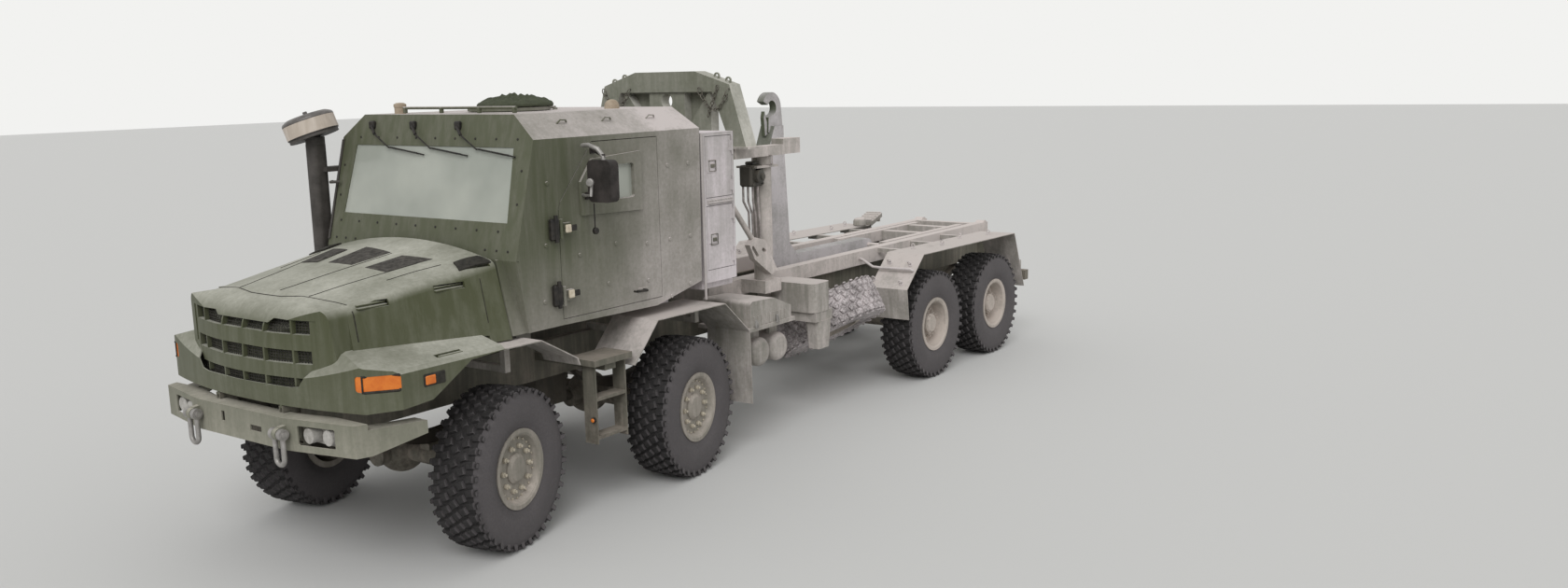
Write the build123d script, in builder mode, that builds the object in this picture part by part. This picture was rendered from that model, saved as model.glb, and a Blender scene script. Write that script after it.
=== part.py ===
from build123d import *
import os
from math import cos, radians, sin

os.makedirs("parts", exist_ok=True)

# Eight-wheeled military cargo truck with a hook loader.
# X points forward, Y to the left, Z up. The origin is on the ground under the middle of the truck.
# Short place tables give x as the distance from the first axle, and z over the ground.

# Axles and overall length
FRONT_OVERHANG = 1370
AXLE_GAP_12 = 2025
AXLE_GAP_23 = 4180
AXLE_GAP_34 = 1450
REAR_OVERHANG = 1355
OVERALL_LENGTH = FRONT_OVERHANG + AXLE_GAP_12 + AXLE_GAP_23 + AXLE_GAP_34 + REAR_OVERHANG
AXLE_1 = OVERALL_LENGTH / 2 - FRONT_OVERHANG
AXLE_2 = AXLE_1 - AXLE_GAP_12
AXLE_3 = AXLE_2 - AXLE_GAP_23
AXLE_4 = AXLE_3 - AXLE_GAP_34
REAR_END = -OVERALL_LENGTH / 2

# Wheels
TYRE_R = 590
TYRE_WIDTH = 390
TREAD_WIDTH = 330
RIM_R = 266
RIM_FLANGE_R = 292
RIM_FLANGE = 12
RIM_HALF_WIDTH = 172
RIM_WALL = 20
KINGPIN_SPREAD = 1686
KINGPIN_OFFSET = 205
WHEEL_TRACK = KINGPIN_SPREAD + 2 * KINGPIN_OFFSET
STEER_1 = 13.6
STEER_2 = 9.4
SPINDLE_R = 60
RUNNING_FIT = 0.05
HUB_DEPTH = 90

# Frame
FRAME_WIDTH = 860
RAIL_BOTTOM = 950
RAIL_TOP = 1250
RAIL_FLANGE = 80
RAIL_PLATE = 10
RAIL_FRONT = AXLE_1 + 1100
CROSS_MEMBERS = [1040, -1610, -2900, -3700, -4350, -5300, -6930, -8300]
CROSS_MEMBER_Z = 1025
CROSS_MEMBER_HEIGHT = 120
REAR_BEAM = 120
BEAM_IN = 385
BEAM_OUT = 505
BEAM_TOP = 1400

# Cab envelope, with heights over the ground
CAB_HALF_WIDTH = 1092
ROOF_HALF_WIDTH = 858
CAB_WALL = 50
CAB_KINK_Z = 2900
ROOF_Z = 3078
CAB_FLOOR_Z = 1520
FLOOR_FALL = 20
COWL_Z = 2051
COWL_X = AXLE_1 - 265
CAB_TOE_X = AXLE_1 - 351
CAB_KINK_X = AXLE_1 - 480
ROOF_FRONT_X = AXLE_1 - 554
CAB_REAR_X = AXLE_1 - 2366
PANEL_GAP = 6

# Hood
HOOD_WALL = 8
HOOD_REAR_X = AXLE_1 - 206
HOOD_FRONT_X = AXLE_1 + 950
NOSE_X = AXLE_1 + 1233
CHIN_Z = 1245
WING_Y = 1240
WING_REAR_X = AXLE_1 + 22


def wheel_plane(axle_x, side, steer):
    """Plane at a wheel's middle: z points outwards along its axle, x points ahead."""
    turn = radians(steer)
    outward = Vector(-sin(turn), cos(turn), 0) * side
    kingpin = Vector(axle_x, side * KINGPIN_SPREAD / 2, TYRE_R)
    return Plane(origin=kingpin + outward * KINGPIN_OFFSET, x_dir=(cos(turn), sin(turn), 0), z_dir=outward)


# Wheel places: name, axle position, side (1 is left), steered angle to the left in degrees
WHEELS = [
    ("1_left", AXLE_1, 1, STEER_1),
    ("1_right", AXLE_1, -1, STEER_1),
    ("2_left", AXLE_2, 1, STEER_2),
    ("2_right", AXLE_2, -1, STEER_2),
    ("3_left", AXLE_3, 1, 0),
    ("3_right", AXLE_3, -1, 0),
    ("4_left", AXLE_4, 1, 0),
    ("4_right", AXLE_4, -1, 0),
]

# Tyres: one moulded ring with its axis on Z, a rib round its middle and blocks on both shoulders
BEAD_Z = RIM_HALF_WIDTH - RIM_FLANGE
BULGE_R = 430
TREAD_DEPTH = 24
SHOULDER_DROP = 30
RIB_HALF = 42
BLOCK_COUNT = 24
BLOCK_WIDTH = 84
SHOULDER_EDGE = (TYRE_R - SHOULDER_DROP, TREAD_WIDTH / 2 + 12)
TREAD_EDGE = (TYRE_R - TREAD_DEPTH, TREAD_WIDTH / 2)
with BuildPart() as tyre_form:
    with BuildSketch(Plane.XZ):
        with BuildLine():
            ThreePointArc((RIM_FLANGE_R, BEAD_Z), (BULGE_R, TYRE_WIDTH / 2), SHOULDER_EDGE)
            Polyline(SHOULDER_EDGE, TREAD_EDGE, (TREAD_EDGE[0], RIB_HALF), (TYRE_R, RIB_HALF), (TYRE_R, 0))
            mirror(about=Plane.XZ)
            Polyline((RIM_FLANGE_R, BEAD_Z), (RIM_R, BEAD_Z), (RIM_R, -BEAD_Z), (RIM_FLANGE_R, -BEAD_Z))
        make_face()
    revolve(axis=Axis.Z)
    # each shoulder's blocks lie half a pitch from the other shoulder's
    block_top = (TYRE_R**2 - (BLOCK_WIDTH / 2) ** 2) ** 0.5
    block_length = TREAD_WIDTH / 2 - RIB_HALF - 16
    for side, start in ((1, 0), (-1, 180 / BLOCK_COUNT)):
        with PolarLocations(block_top - TREAD_DEPTH, BLOCK_COUNT, start_angle=start):
            with Locations((0, 0, side * (TREAD_WIDTH / 2 - block_length / 2))):
                Box(2 * TREAD_DEPTH, BLOCK_WIDTH, block_length)

# Rims: barrel with two flanges, disc, hub with a blind bore for the spindle, and brake drum
BARREL_IN = RIM_R - RIM_WALL
HUB_R = 110
DRUM_R = 205
DRUM_WALL = 15
FRONT_DISC_Z = 120
REAR_DISC_Z = 30


def rim_form(disc_z, cap_z):
    """A rim on the Z axis whose disc face lies at disc_z and whose hub cap ends at cap_z."""
    with BuildPart() as rim:
        with BuildSketch(Plane.XZ):
            with BuildLine():
                Polyline(
                    (RIM_R, -BEAD_Z),
                    (RIM_FLANGE_R, -BEAD_Z),
                    (RIM_FLANGE_R, -RIM_HALF_WIDTH),
                    (BARREL_IN, -RIM_HALF_WIDTH),
                    (BARREL_IN, disc_z - RIM_WALL),
                    (HUB_R - 10, disc_z - RIM_WALL),
                    (HUB_R - 10, disc_z),
                    (BARREL_IN - 20, disc_z),
                    (BARREL_IN, RIM_HALF_WIDTH - 10),
                    (BARREL_IN + 16, RIM_HALF_WIDTH),
                    (RIM_FLANGE_R, RIM_HALF_WIDTH),
                    (RIM_FLANGE_R, BEAD_Z),
                    (RIM_R, BEAD_Z),
                    close=True,
                )
            make_face()
        revolve(axis=Axis.Z)
        with BuildSketch(Plane.XZ):
            with BuildLine():
                Polyline(
                    (SPINDLE_R + RUNNING_FIT, -110),
                    (SPINDLE_R + RUNNING_FIT, HUB_DEPTH),
                    (0, HUB_DEPTH),
                    (0, cap_z),
                    (HUB_R - 25, cap_z),
                    (HUB_R, cap_z - 20),
                    (HUB_R, -10),
                    (DRUM_R, -10),
                    (DRUM_R, -120),
                    (DRUM_R - DRUM_WALL, -120),
                    (DRUM_R - DRUM_WALL, -30),
                    (HUB_R, -30),
                    (HUB_R, -110),
                    close=True,
                )
            make_face()
        revolve(axis=Axis.Z)
    return rim.part


front_rim_form = rim_form(FRONT_DISC_Z, FRONT_DISC_Z + 32)
rear_rim_form = rim_form(REAR_DISC_Z, REAR_DISC_Z + 100)

for name, axle_x, side, steer in WHEELS:
    place = wheel_plane(axle_x, side, steer).location
    with BuildPart() as tyre:
        with Locations(place):
            add(tyre_form.part)
    tyre.part.label = f"tyre_{name}"
    export_step(tyre.part, f"parts/tyre_{name}.step")
    with BuildPart() as rim:
        with Locations(place):
            add(front_rim_form if steer else rear_rim_form)
    rim.part.label = f"rim_{name}"
    export_step(rim.part, f"parts/rim_{name}.step")

# Steering knuckles: kingpin barrel, spindle and brake back plate, turned with the wheel
KINGPIN_R = 30
KNUCKLE_R = 65
FORK_GAP = 120
FORK_ARM = 40
with BuildPart() as knuckle_form:
    # own frame: origin on the kingpin at hub height, spindle along Z, kingpin along Y
    with BuildSketch(Plane.XY):
        Circle(SPINDLE_R)
    extrude(amount=KINGPIN_OFFSET + HUB_DEPTH - 5)
    with BuildSketch(Plane.XZ):
        Circle(KNUCKLE_R)
    extrude(amount=FORK_GAP - 2, both=True)
    with BuildSketch(Plane.XZ):
        Circle(KINGPIN_R - RUNNING_FIT)
    extrude(amount=FORK_GAP + FORK_ARM - 2, both=True)
    with BuildSketch(Plane.XY.offset(70)):
        Circle(185)
        Circle(SPINDLE_R, mode=Mode.SUBTRACT)
    extrude(amount=10)

for name, axle_x, side, steer in WHEELS[:4]:
    wheel = wheel_plane(axle_x, side, steer)
    kingpin_plane = Plane(
        origin=(axle_x, side * KINGPIN_SPREAD / 2, TYRE_R), x_dir=wheel.x_dir, z_dir=wheel.z_dir
    )
    with BuildPart() as knuckle:
        with Locations(kingpin_plane.location):
            add(knuckle_form.part)
    knuckle.part.label = f"knuckle_{name}"
    export_step(knuckle.part, f"parts/knuckle_{name}.step")

# Axle beams: tube, differential housing and, in front, the forks that hold the kingpins
AXLE_TUBE_R = 80
DIFF_R = 185
FORK_R = 50
SPRING_Y = 385


def axle_beam(axle_x, steered):
    """One axle beam across the truck at hub height."""
    half = KINGPIN_SPREAD / 2
    tube_half = half - 75 if steered else half + 20
    with BuildPart() as beam:
        with BuildSketch(Plane.XZ):
            with Locations((axle_x, TYRE_R)):
                Circle(AXLE_TUBE_R)
        extrude(amount=tube_half, both=True)
        with Locations((axle_x, 0, TYRE_R)):
            Sphere(DIFF_R)
        with Locations((axle_x + 60, 0, TYRE_R)):
            Cylinder(90, 360, rotation=(0, 90, 0))
        for side in (1, -1):
            if steered:
                with BuildSketch(Plane.XY.offset(TYRE_R - FORK_GAP - FORK_ARM)):
                    with Locations((axle_x, side * (half - 55))):
                        Rectangle(2 * FORK_R, 110)
                    with Locations((axle_x, side * half)):
                        Circle(FORK_R)
                extrude(amount=2 * (FORK_GAP + FORK_ARM))
                with Locations((axle_x, side * (half + 10), TYRE_R)):
                    Box(2 * FORK_R + 60, 170, 2 * FORK_GAP, mode=Mode.SUBTRACT)
                with Locations((axle_x, side * half, TYRE_R)):
                    Cylinder(KINGPIN_R, 2 * (FORK_GAP + FORK_ARM), mode=Mode.SUBTRACT)
            else:
                with BuildSketch(Plane.XZ.offset(-side * (half + 20))):
                    with Locations((axle_x, TYRE_R)):
                        Circle(SPINDLE_R)
                extrude(amount=-side * (KINGPIN_OFFSET + HUB_DEPTH - 25))
            # seat of the leaf spring
            with Locations((axle_x, side * SPRING_Y, TYRE_R + AXLE_TUBE_R + 5)):
                Box(180, 100, 50)
    return beam.part


with BuildPart() as axle_beams:
    for axle_x in (AXLE_1, AXLE_2):
        add(axle_beam(axle_x, True))
    for axle_x in (AXLE_3, AXLE_4):
        add(axle_beam(axle_x, False))
axle_beams.part.label = "axle_beams"
export_step(axle_beams.part, "parts/axle_beams.step")

# Leaf springs: a curved pack over each axle, its ends under the frame rail
SPRING_HALF = 560
SPRING_WIDTH = 80
SPRING_PACK = 90
SPRING_SEAT_Z = TYRE_R + AXLE_TUBE_R + 30
with BuildPart() as leaf_springs:
    for axle_x in (AXLE_1, AXLE_2, AXLE_3, AXLE_4):
        with BuildSketch(Plane.XZ.offset(-SPRING_Y - SPRING_WIDTH / 2)):
            with BuildLine():
                ThreePointArc(
                    (axle_x - SPRING_HALF, RAIL_BOTTOM - 25),
                    (axle_x, SPRING_SEAT_Z),
                    (axle_x + SPRING_HALF, RAIL_BOTTOM - 25),
                )
                Line((axle_x + SPRING_HALF, RAIL_BOTTOM - 25), (axle_x + SPRING_HALF, RAIL_BOTTOM))
                ThreePointArc(
                    (axle_x + SPRING_HALF, RAIL_BOTTOM),
                    (axle_x, SPRING_SEAT_Z + SPRING_PACK),
                    (axle_x - SPRING_HALF, RAIL_BOTTOM),
                )
                Line((axle_x - SPRING_HALF, RAIL_BOTTOM), (axle_x - SPRING_HALF, RAIL_BOTTOM - 25))
            make_face()
        extrude(amount=SPRING_WIDTH)
    mirror(about=Plane.XZ)
leaf_springs.part.label = "leaf_springs"
export_step(leaf_springs.part, "parts/leaf_springs.step")

# Chassis frame: two channel rails, cross members and the rear beam
RAIL_REAR = REAR_END + 110
RAIL_HEIGHT = RAIL_TOP - RAIL_BOTTOM
RAIL_MID_Z = (RAIL_TOP + RAIL_BOTTOM) / 2
RAIL_OUT_Y = FRAME_WIDTH / 2
UNDERRUN_Z = 760
UNDERRUN_HEIGHT = 120
UNDERRUN_HALF = 1080
HOOD_HINGE_X = AXLE_1 + 1180
HOOD_HINGE_Y = 370
HOOD_HINGE_Z = 1216
HOOD_PIN_R = 10
SPARE = (AXLE_1 - 4900, 655, 835)
SPARE_TILT = 30
SPARE_ARM_Z = 1010
spare_plane = Plane(
    origin=SPARE, x_dir=(1, 0, 0), z_dir=(0, -sin(radians(SPARE_TILT)), cos(radians(SPARE_TILT)))
)
with BuildPart() as chassis_frame:
    with BuildSketch(Plane.YZ.offset(RAIL_REAR)):
        with Locations((RAIL_OUT_Y - RAIL_FLANGE / 2, RAIL_MID_Z)):
            Rectangle(RAIL_FLANGE, RAIL_HEIGHT)
        with Locations((RAIL_OUT_Y - RAIL_FLANGE / 2 - RAIL_PLATE, RAIL_MID_Z)):
            Rectangle(RAIL_FLANGE, RAIL_HEIGHT - 2 * RAIL_PLATE, mode=Mode.SUBTRACT)
        mirror(about=Plane.YZ)
    extrude(amount=RAIL_FRONT - RAIL_REAR)
    for reach in CROSS_MEMBERS:
        with Locations((AXLE_1 + reach, 0, CROSS_MEMBER_Z)):
            Box(90, FRAME_WIDTH - 2 * RAIL_PLATE, CROSS_MEMBER_HEIGHT)
    # rear beam across the rail ends, with the underrun bar on two hangers
    with Locations((RAIL_REAR + REAR_BEAM / 2, 0, RAIL_MID_Z)):
        Box(REAR_BEAM, FRAME_WIDTH + 300, RAIL_HEIGHT)
    with Locations((RAIL_REAR + 60, 0, UNDERRUN_Z)):
        Box(100, 2 * UNDERRUN_HALF, UNDERRUN_HEIGHT)
    for side in (1, -1):
        with Locations((RAIL_REAR + 60, side * 480, (UNDERRUN_Z + RAIL_BOTTOM) / 2)):
            Box(80, 60, RAIL_BOTTOM - UNDERRUN_Z + 60)
    # hood hinge: two clevis brackets with their pins over the rail ends
    for side in (1, -1):
        with Locations((AXLE_1 + 1117, side * HOOD_HINGE_Y, 1195)):
            Box(66, 56, 80)
        for cheek in (1, -1):
            with Locations((HOOD_HINGE_X - 10, side * HOOD_HINGE_Y + cheek * 17, HOOD_HINGE_Z)):
                Box(80, 12, 40)
        with Locations((HOOD_HINGE_X, side * HOOD_HINGE_Y, HOOD_HINGE_Z)):
            Cylinder(HOOD_PIN_R, 46, rotation=(90, 0, 0))
    # carrier of the spare wheel: an arm from the left rail and a stud down to the hub
    with Locations((SPARE[0], (RAIL_OUT_Y + 620) / 2, SPARE_ARM_Z)):
        Box(120, 620 - RAIL_OUT_Y, 60)
    with BuildSketch(spare_plane.offset(REAR_DISC_Z + 100)):
        Circle(30)
    extrude(amount=80)
    # bumper brackets ahead of the rails
    for side in (1, -1):
        with Locations((RAIL_FRONT + 60, side * (RAIL_OUT_Y - 40), RAIL_MID_Z - 20)):
            Box(130, 60, 180)
chassis_frame.part.label = "chassis_frame"
export_step(chassis_frame.part, "parts/chassis_frame.step")


def rod_between(start, end, radius):
    """A round rod from one point to another."""
    a = Vector(*start)
    b = Vector(*end)
    with BuildPart() as rod:
        with BuildSketch(Plane(origin=a, z_dir=b - a)):
            Circle(radius)
        extrude(amount=(b - a).length)
    return rod.part


# Drive line: engine as one plain block, gearbox, transfer case and shafts
SHAFT_R = 45
SHAFT_FRONT = 185
SHAFT_REAR = 240
ENGINE_X = AXLE_1 + 330
MOUNT_HEIGHT = 50
CASE_FRONT_X = AXLE_1 - 1190
CASE_REAR_X = AXLE_1 - 1530
with BuildPart() as drive_line:
    with Locations((ENGINE_X, 0, 1330)):
        Box(1050, 660, 740)
    # cross beams that carry the engine and the gearbox on the rails
    for x in (ENGINE_X + 190, ENGINE_X - 830):
        with Locations((x, 0, RAIL_TOP + MOUNT_HEIGHT / 2)):
            Box(100, FRAME_WIDTH - 20, MOUNT_HEIGHT)
    with Locations(((AXLE_1 - 195 + CASE_FRONT_X) / 2, 0, 1130)):
        Box(AXLE_1 - 195 - CASE_FRONT_X, 420, 420)
    with Locations(((CASE_FRONT_X + CASE_REAR_X) / 2, 0, 880)):
        Box(CASE_FRONT_X - CASE_REAR_X, 460, 480)
    add(rod_between((AXLE_1 - SHAFT_FRONT, 0, TYRE_R), (CASE_FRONT_X, 0, 700), SHAFT_R))
    add(rod_between((CASE_REAR_X, 0, 690), (AXLE_2 + SHAFT_REAR, 0, TYRE_R + 10), SHAFT_R))
    add(rod_between((AXLE_2 - SHAFT_FRONT, 0, TYRE_R), (AXLE_3 + SHAFT_REAR, 0, TYRE_R), SHAFT_R))
    add(rod_between((AXLE_3 - SHAFT_FRONT, 0, TYRE_R), (AXLE_4 + SHAFT_REAR, 0, TYRE_R), SHAFT_R))
    # the shafts end flat against the axles' housings
    for axle_x in (AXLE_1, AXLE_2):
        with Locations((axle_x + (SHAFT_REAR - SHAFT_FRONT) / 2, 0, TYRE_R)):
            Box(SHAFT_REAR + SHAFT_FRONT, 4 * SHAFT_R, 3 * SHAFT_R, mode=Mode.SUBTRACT)
drive_line.part.label = "drive_line"
export_step(drive_line.part, "parts/drive_line.step")

# Front bumper: folded plate, with a flat middle, swept lamp sections and short side wings
BUMPER_X = AXLE_1 + 1287
BUMPER_MID_Y = 504
BUMPER_LAMP_X = AXLE_1 + 1172
BUMPER_LAMP_Y = 1088
BUMPER_END_X = AXLE_1 + 720
BUMPER_END_Y = 1240
BUMPER_TOP = 1190
BUMPER_BOTTOM = 975
BUMPER_PLATE = 10
BUMPER_DEPTH = 130
BUMPER_STEP = 42
BUMPER_STEP_X = AXLE_1 + 1090
LAMP_Z = 1085
LAMP_Y = [690, 850]
LAMP_R = 52


def bumper_outline(inset, depth):
    """Plan of the bumper, drawn inset from its face and with a given depth."""
    face = [
        (BUMPER_X - inset, BUMPER_MID_Y - inset / 5),
        (BUMPER_LAMP_X - inset, BUMPER_LAMP_Y - inset / 2),
        (BUMPER_END_X, BUMPER_END_Y - inset),
    ]
    back = [
        (BUMPER_END_X, BUMPER_END_Y - depth),
        (BUMPER_LAMP_X - depth, BUMPER_LAMP_Y - depth * 0.75),
        (BUMPER_X - depth, BUMPER_MID_Y - depth / 5),
    ]
    left = face + back
    right = [(x, -y) for x, y in reversed(left)]
    return left + right


with BuildPart() as bumper:
    with BuildSketch(Plane.XY.offset(BUMPER_BOTTOM)):
        with BuildLine():
            Polyline(*bumper_outline(0, BUMPER_DEPTH), close=True)
        make_face()
    extrude(amount=BUMPER_TOP - BUMPER_BOTTOM)
    with BuildSketch(Plane.XY.offset(BUMPER_BOTTOM - 1)):
        with BuildLine():
            Polyline(*bumper_outline(BUMPER_PLATE, BUMPER_DEPTH + 200), close=True)
        make_face()
    extrude(amount=BUMPER_TOP - BUMPER_BOTTOM + 1 - BUMPER_PLATE, mode=Mode.SUBTRACT)
    # the swept wings stand lower than the middle, each under its own plate
    with Locations((BUMPER_STEP_X - 400, 0, BUMPER_TOP - BUMPER_STEP / 2)):
        Box(800, 2 * BUMPER_END_Y + 20, BUMPER_STEP, mode=Mode.SUBTRACT)
    with BuildSketch(Plane.XY.offset(BUMPER_TOP - BUMPER_STEP - BUMPER_PLATE)):
        with BuildLine():
            Polyline(*bumper_outline(0, BUMPER_DEPTH), close=True)
        make_face()
        with Locations((BUMPER_STEP_X + 400, 0)):
            Rectangle(800, 2 * BUMPER_END_Y, mode=Mode.SUBTRACT)
    extrude(amount=BUMPER_PLATE)
    # lamp windows and the two slots in the middle
    for side in (1, -1):
        with BuildSketch(Plane.YZ.offset(AXLE_1 + 900)):
            with Locations((side * (LAMP_Y[0] + LAMP_Y[1]) / 2, LAMP_Z)):
                RectangleRounded(LAMP_Y[1] - LAMP_Y[0] + 150, 130, 12)
        extrude(amount=500, mode=Mode.SUBTRACT)
    with BuildSketch(Plane.YZ.offset(AXLE_1 + 1200)):
        with Locations((180, 1075)):
            Rectangle(130, 40)
        with Locations((-200, 1110)):
            Rectangle(40, 70)
    extrude(amount=200, mode=Mode.SUBTRACT)
    # the wings' lower edge rises to the rear
    with BuildSketch(Plane.XZ):
        with BuildLine():
            Polyline(
                (BUMPER_LAMP_X - 60, BUMPER_BOTTOM - 10),
                (BUMPER_END_X - 10, BUMPER_BOTTOM - 10),
                (BUMPER_END_X - 10, BUMPER_BOTTOM + 90),
                close=True,
            )
        make_face()
    extrude(amount=1400, both=True, mode=Mode.SUBTRACT)
    # shackle brackets through the face
    for side in (1, -1):
        with BuildSketch(Plane.XZ.offset(-side * BUMPER_MID_Y - 20)):
            with BuildLine():
                Polyline(
                    (BUMPER_X - 110, 1035),
                    (BUMPER_X + 43, 1050),
                    (BUMPER_X + 43, 1140),
                    (BUMPER_X - 110, 1160),
                    close=True,
                )
            make_face()
            with Locations((BUMPER_X + 43, 1095)):
                Circle(40)
                Circle(20, mode=Mode.SUBTRACT)
        extrude(amount=40)
bumper.part.label = "bumper"
export_step(bumper.part, "parts/bumper.step")

# Tow fittings: ahead a shackle hanging in each bracket, behind a jaw with an upright pin
SHACKLE_X = BUMPER_X + 43
SHACKLE_Z = 1095
SHACKLE_ROD = 17
SHACKLE_HALF = 44
SHACKLE_DROP = 165
COUPLING_Z = 1040
COUPLING_PLATE = 30
JAW_R = 45
JAW_HEIGHT = 150
JAW_GAP = 74
TOW_PIN_R = 20
TOW_PIN_X = REAR_END + JAW_R
with BuildPart() as tow_fittings:
    for side in (1, -1):
        y_mid = side * BUMPER_MID_Y
        with BuildLine():
            leg = Line(
                (SHACKLE_X, y_mid - SHACKLE_HALF, SHACKLE_Z),
                (SHACKLE_X, y_mid - SHACKLE_HALF, SHACKLE_Z - SHACKLE_DROP),
            )
            bow = ThreePointArc(
                leg @ 1,
                (SHACKLE_X, y_mid, SHACKLE_Z - SHACKLE_DROP - SHACKLE_HALF),
                (SHACKLE_X, y_mid + SHACKLE_HALF, SHACKLE_Z - SHACKLE_DROP),
            )
            Line(bow @ 1, (SHACKLE_X, y_mid + SHACKLE_HALF, SHACKLE_Z))
        with BuildSketch(Plane(origin=leg @ 0, z_dir=leg % 0)):
            Circle(SHACKLE_ROD)
        sweep()
        with Locations((SHACKLE_X, y_mid, SHACKLE_Z)):
            Cylinder(20, 150, rotation=(90, 0, 0))
        for end in (1, -1):
            with Locations((SHACKLE_X, y_mid + end * SHACKLE_HALF, SHACKLE_Z)):
                Cylinder(38, 36, rotation=(90, 0, 0))
    with Locations((RAIL_REAR - COUPLING_PLATE / 2, 0, COUPLING_Z)):
        Box(COUPLING_PLATE, 260, 220)
    with BuildSketch(Plane.XY.offset(COUPLING_Z - JAW_HEIGHT / 2)):
        with BuildLine():
            Polyline(
                (RAIL_REAR - 10, 95),
                (RAIL_REAR - COUPLING_PLATE - 5, 95),
                (TOW_PIN_X, JAW_R),
                (TOW_PIN_X, -JAW_R),
                (RAIL_REAR - COUPLING_PLATE - 5, -95),
                (RAIL_REAR - 10, -95),
                close=True,
            )
        make_face()
        with Locations((TOW_PIN_X, 0)):
            Circle(JAW_R)
    extrude(amount=JAW_HEIGHT)
    with Locations((REAR_END + 40, 0, COUPLING_Z)):
        Box(110, 300, JAW_GAP, mode=Mode.SUBTRACT)
    with Locations((TOW_PIN_X, 0, COUPLING_Z)):
        Cylinder(TOW_PIN_R, 190)
tow_fittings.part.label = "tow_fittings"
export_step(tow_fittings.part, "parts/tow_fittings.step")

# Lamps: two round lamps a side in the bumper and a lamp cluster a side at the rear
TAIL_LAMP_Y = 820
with BuildPart() as lamps:
    for side in (1, -1):
        for y in LAMP_Y:
            slope = (y - BUMPER_MID_Y) / (BUMPER_LAMP_Y - BUMPER_MID_Y)
            face_x = BUMPER_X + slope * (BUMPER_LAMP_X - BUMPER_X)
            with BuildSketch(Plane.YZ.offset(BUMPER_LAMP_X - 40)):
                with Locations((side * y, LAMP_Z)):
                    Circle(LAMP_R)
            extrude(amount=face_x - 15 - BUMPER_LAMP_X + 40)
        # housing that carries both lamps, on the bumper's top plate
        with Locations((BUMPER_LAMP_X - 40, side * (LAMP_Y[0] + LAMP_Y[1]) / 2, LAMP_Z + 15)):
            Box(50, LAMP_Y[1] - LAMP_Y[0] + 130, 160)
        with Locations((RAIL_REAR + 60, side * TAIL_LAMP_Y, UNDERRUN_Z + UNDERRUN_HEIGHT)):
            Box(90, 330, UNDERRUN_HEIGHT)
lamps.part.label = "lamps"
export_step(lamps.part, "parts/lamps.step")

# Hood: body, nose and wings, all one moulded shell open below and behind.
# Sections at the hood's rear and front: bottom half width, shoulder half width, shoulder z, crown z
NOSE_SIDE_Y = 850
HOOD_SKIRT_Z = 1500
REAR_SECTION = (1071, 930, 2052, 2170)
FRONT_SECTION = (855, 790, 1880, 1950)
NOSE_SECTION = (NOSE_SIDE_Y + 10, 795, 1882, 1952)
SHOULDER_R = 85
NOSE_CORNER_X = AXLE_1 + 1075
NOSE_CORNER_R = 90
ARCH = [(660, 1273), (611, 1301), (317, 1474), (22, 1487)]
WING_TOP_IN = 1620
WING_TOP_OUT = 1515


def hood_section(at_x, size, inset, bottom):
    """The hood's cross-section at a place along it, moved in by the wall."""
    wide, shoulder_y, shoulder_z, crown = size
    with BuildSketch(Plane.YZ.offset(at_x)) as section:
        with BuildLine():
            Polyline(
                (shoulder_y - inset, shoulder_z - inset),
                (wide - inset, bottom),
                (-wide + inset, bottom),
                (-shoulder_y + inset, shoulder_z - inset),
            )
            ThreePointArc(
                (-shoulder_y + inset, shoulder_z - inset),
                (0, crown - inset),
                (shoulder_y - inset, shoulder_z - inset),
            )
        make_face()
        fillet(vertices().group_by(Axis.Y)[-1], SHOULDER_R - inset)
    return section.sketch


def hood_body(inset, rear, front, floor):
    """The hood's middle, lofted between its two sections."""
    with BuildPart() as body:
        add(hood_section(rear, REAR_SECTION, inset, HOOD_SKIRT_Z - floor))
        add(hood_section(front, FRONT_SECTION, inset, HOOD_SKIRT_Z - floor))
        loft(ruled=True)
    return body.part


def hood_nose(inset, floor):
    """The nose: a plan with a bowed front, cut to a bowed side profile."""
    back = AXLE_1 + 880
    with BuildPart() as nose:
        with BuildSketch(Plane.XY.offset(CHIN_Z - floor)):
            with BuildLine():
                Polyline(
                    (NOSE_CORNER_X - inset, NOSE_SIDE_Y - inset),
                    (back, NOSE_SIDE_Y - inset),
                    (back, -NOSE_SIDE_Y + inset),
                    (NOSE_CORNER_X - inset, -NOSE_SIDE_Y + inset),
                )
                ThreePointArc(
                    (NOSE_CORNER_X - inset, -NOSE_SIDE_Y + inset),
                    (NOSE_X - inset, 0),
                    (NOSE_CORNER_X - inset, NOSE_SIDE_Y - inset),
                )
            make_face()
            fillet(vertices().group_by(Axis.X)[-1], NOSE_CORNER_R - inset)
        extrude(amount=900)
        with BuildSketch(Plane.XZ):
            with BuildLine():
                Polyline(
                    (AXLE_1 + 1020 - inset / 2, 1920 - inset),
                    (HOOD_FRONT_X, 1950 - inset),
                    (back, 1956 - inset),
                    (back, CHIN_Z - floor),
                    (NOSE_X - 8 - inset, CHIN_Z - floor),
                    (NOSE_X - inset, 1420),
                    (NOSE_X - 20 - inset, 1740 - inset / 2),
                )
                ThreePointArc(
                    (NOSE_X - 20 - inset, 1740 - inset / 2),
                    (AXLE_1 + 1160 - inset, 1850 - inset),
                    (AXLE_1 + 1020 - inset / 2, 1920 - inset),
                )
            make_face()
        extrude(amount=1400, both=True, mode=Mode.INTERSECT)
        # rounded shoulders that carry on the body's own
        shoulders = hood_section(back, NOSE_SECTION, inset, CHIN_Z - floor)
        extrude(shoulders, amount=NOSE_X - back, dir=(1, 0, 0), mode=Mode.INTERSECT)
    return nose.part


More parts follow.
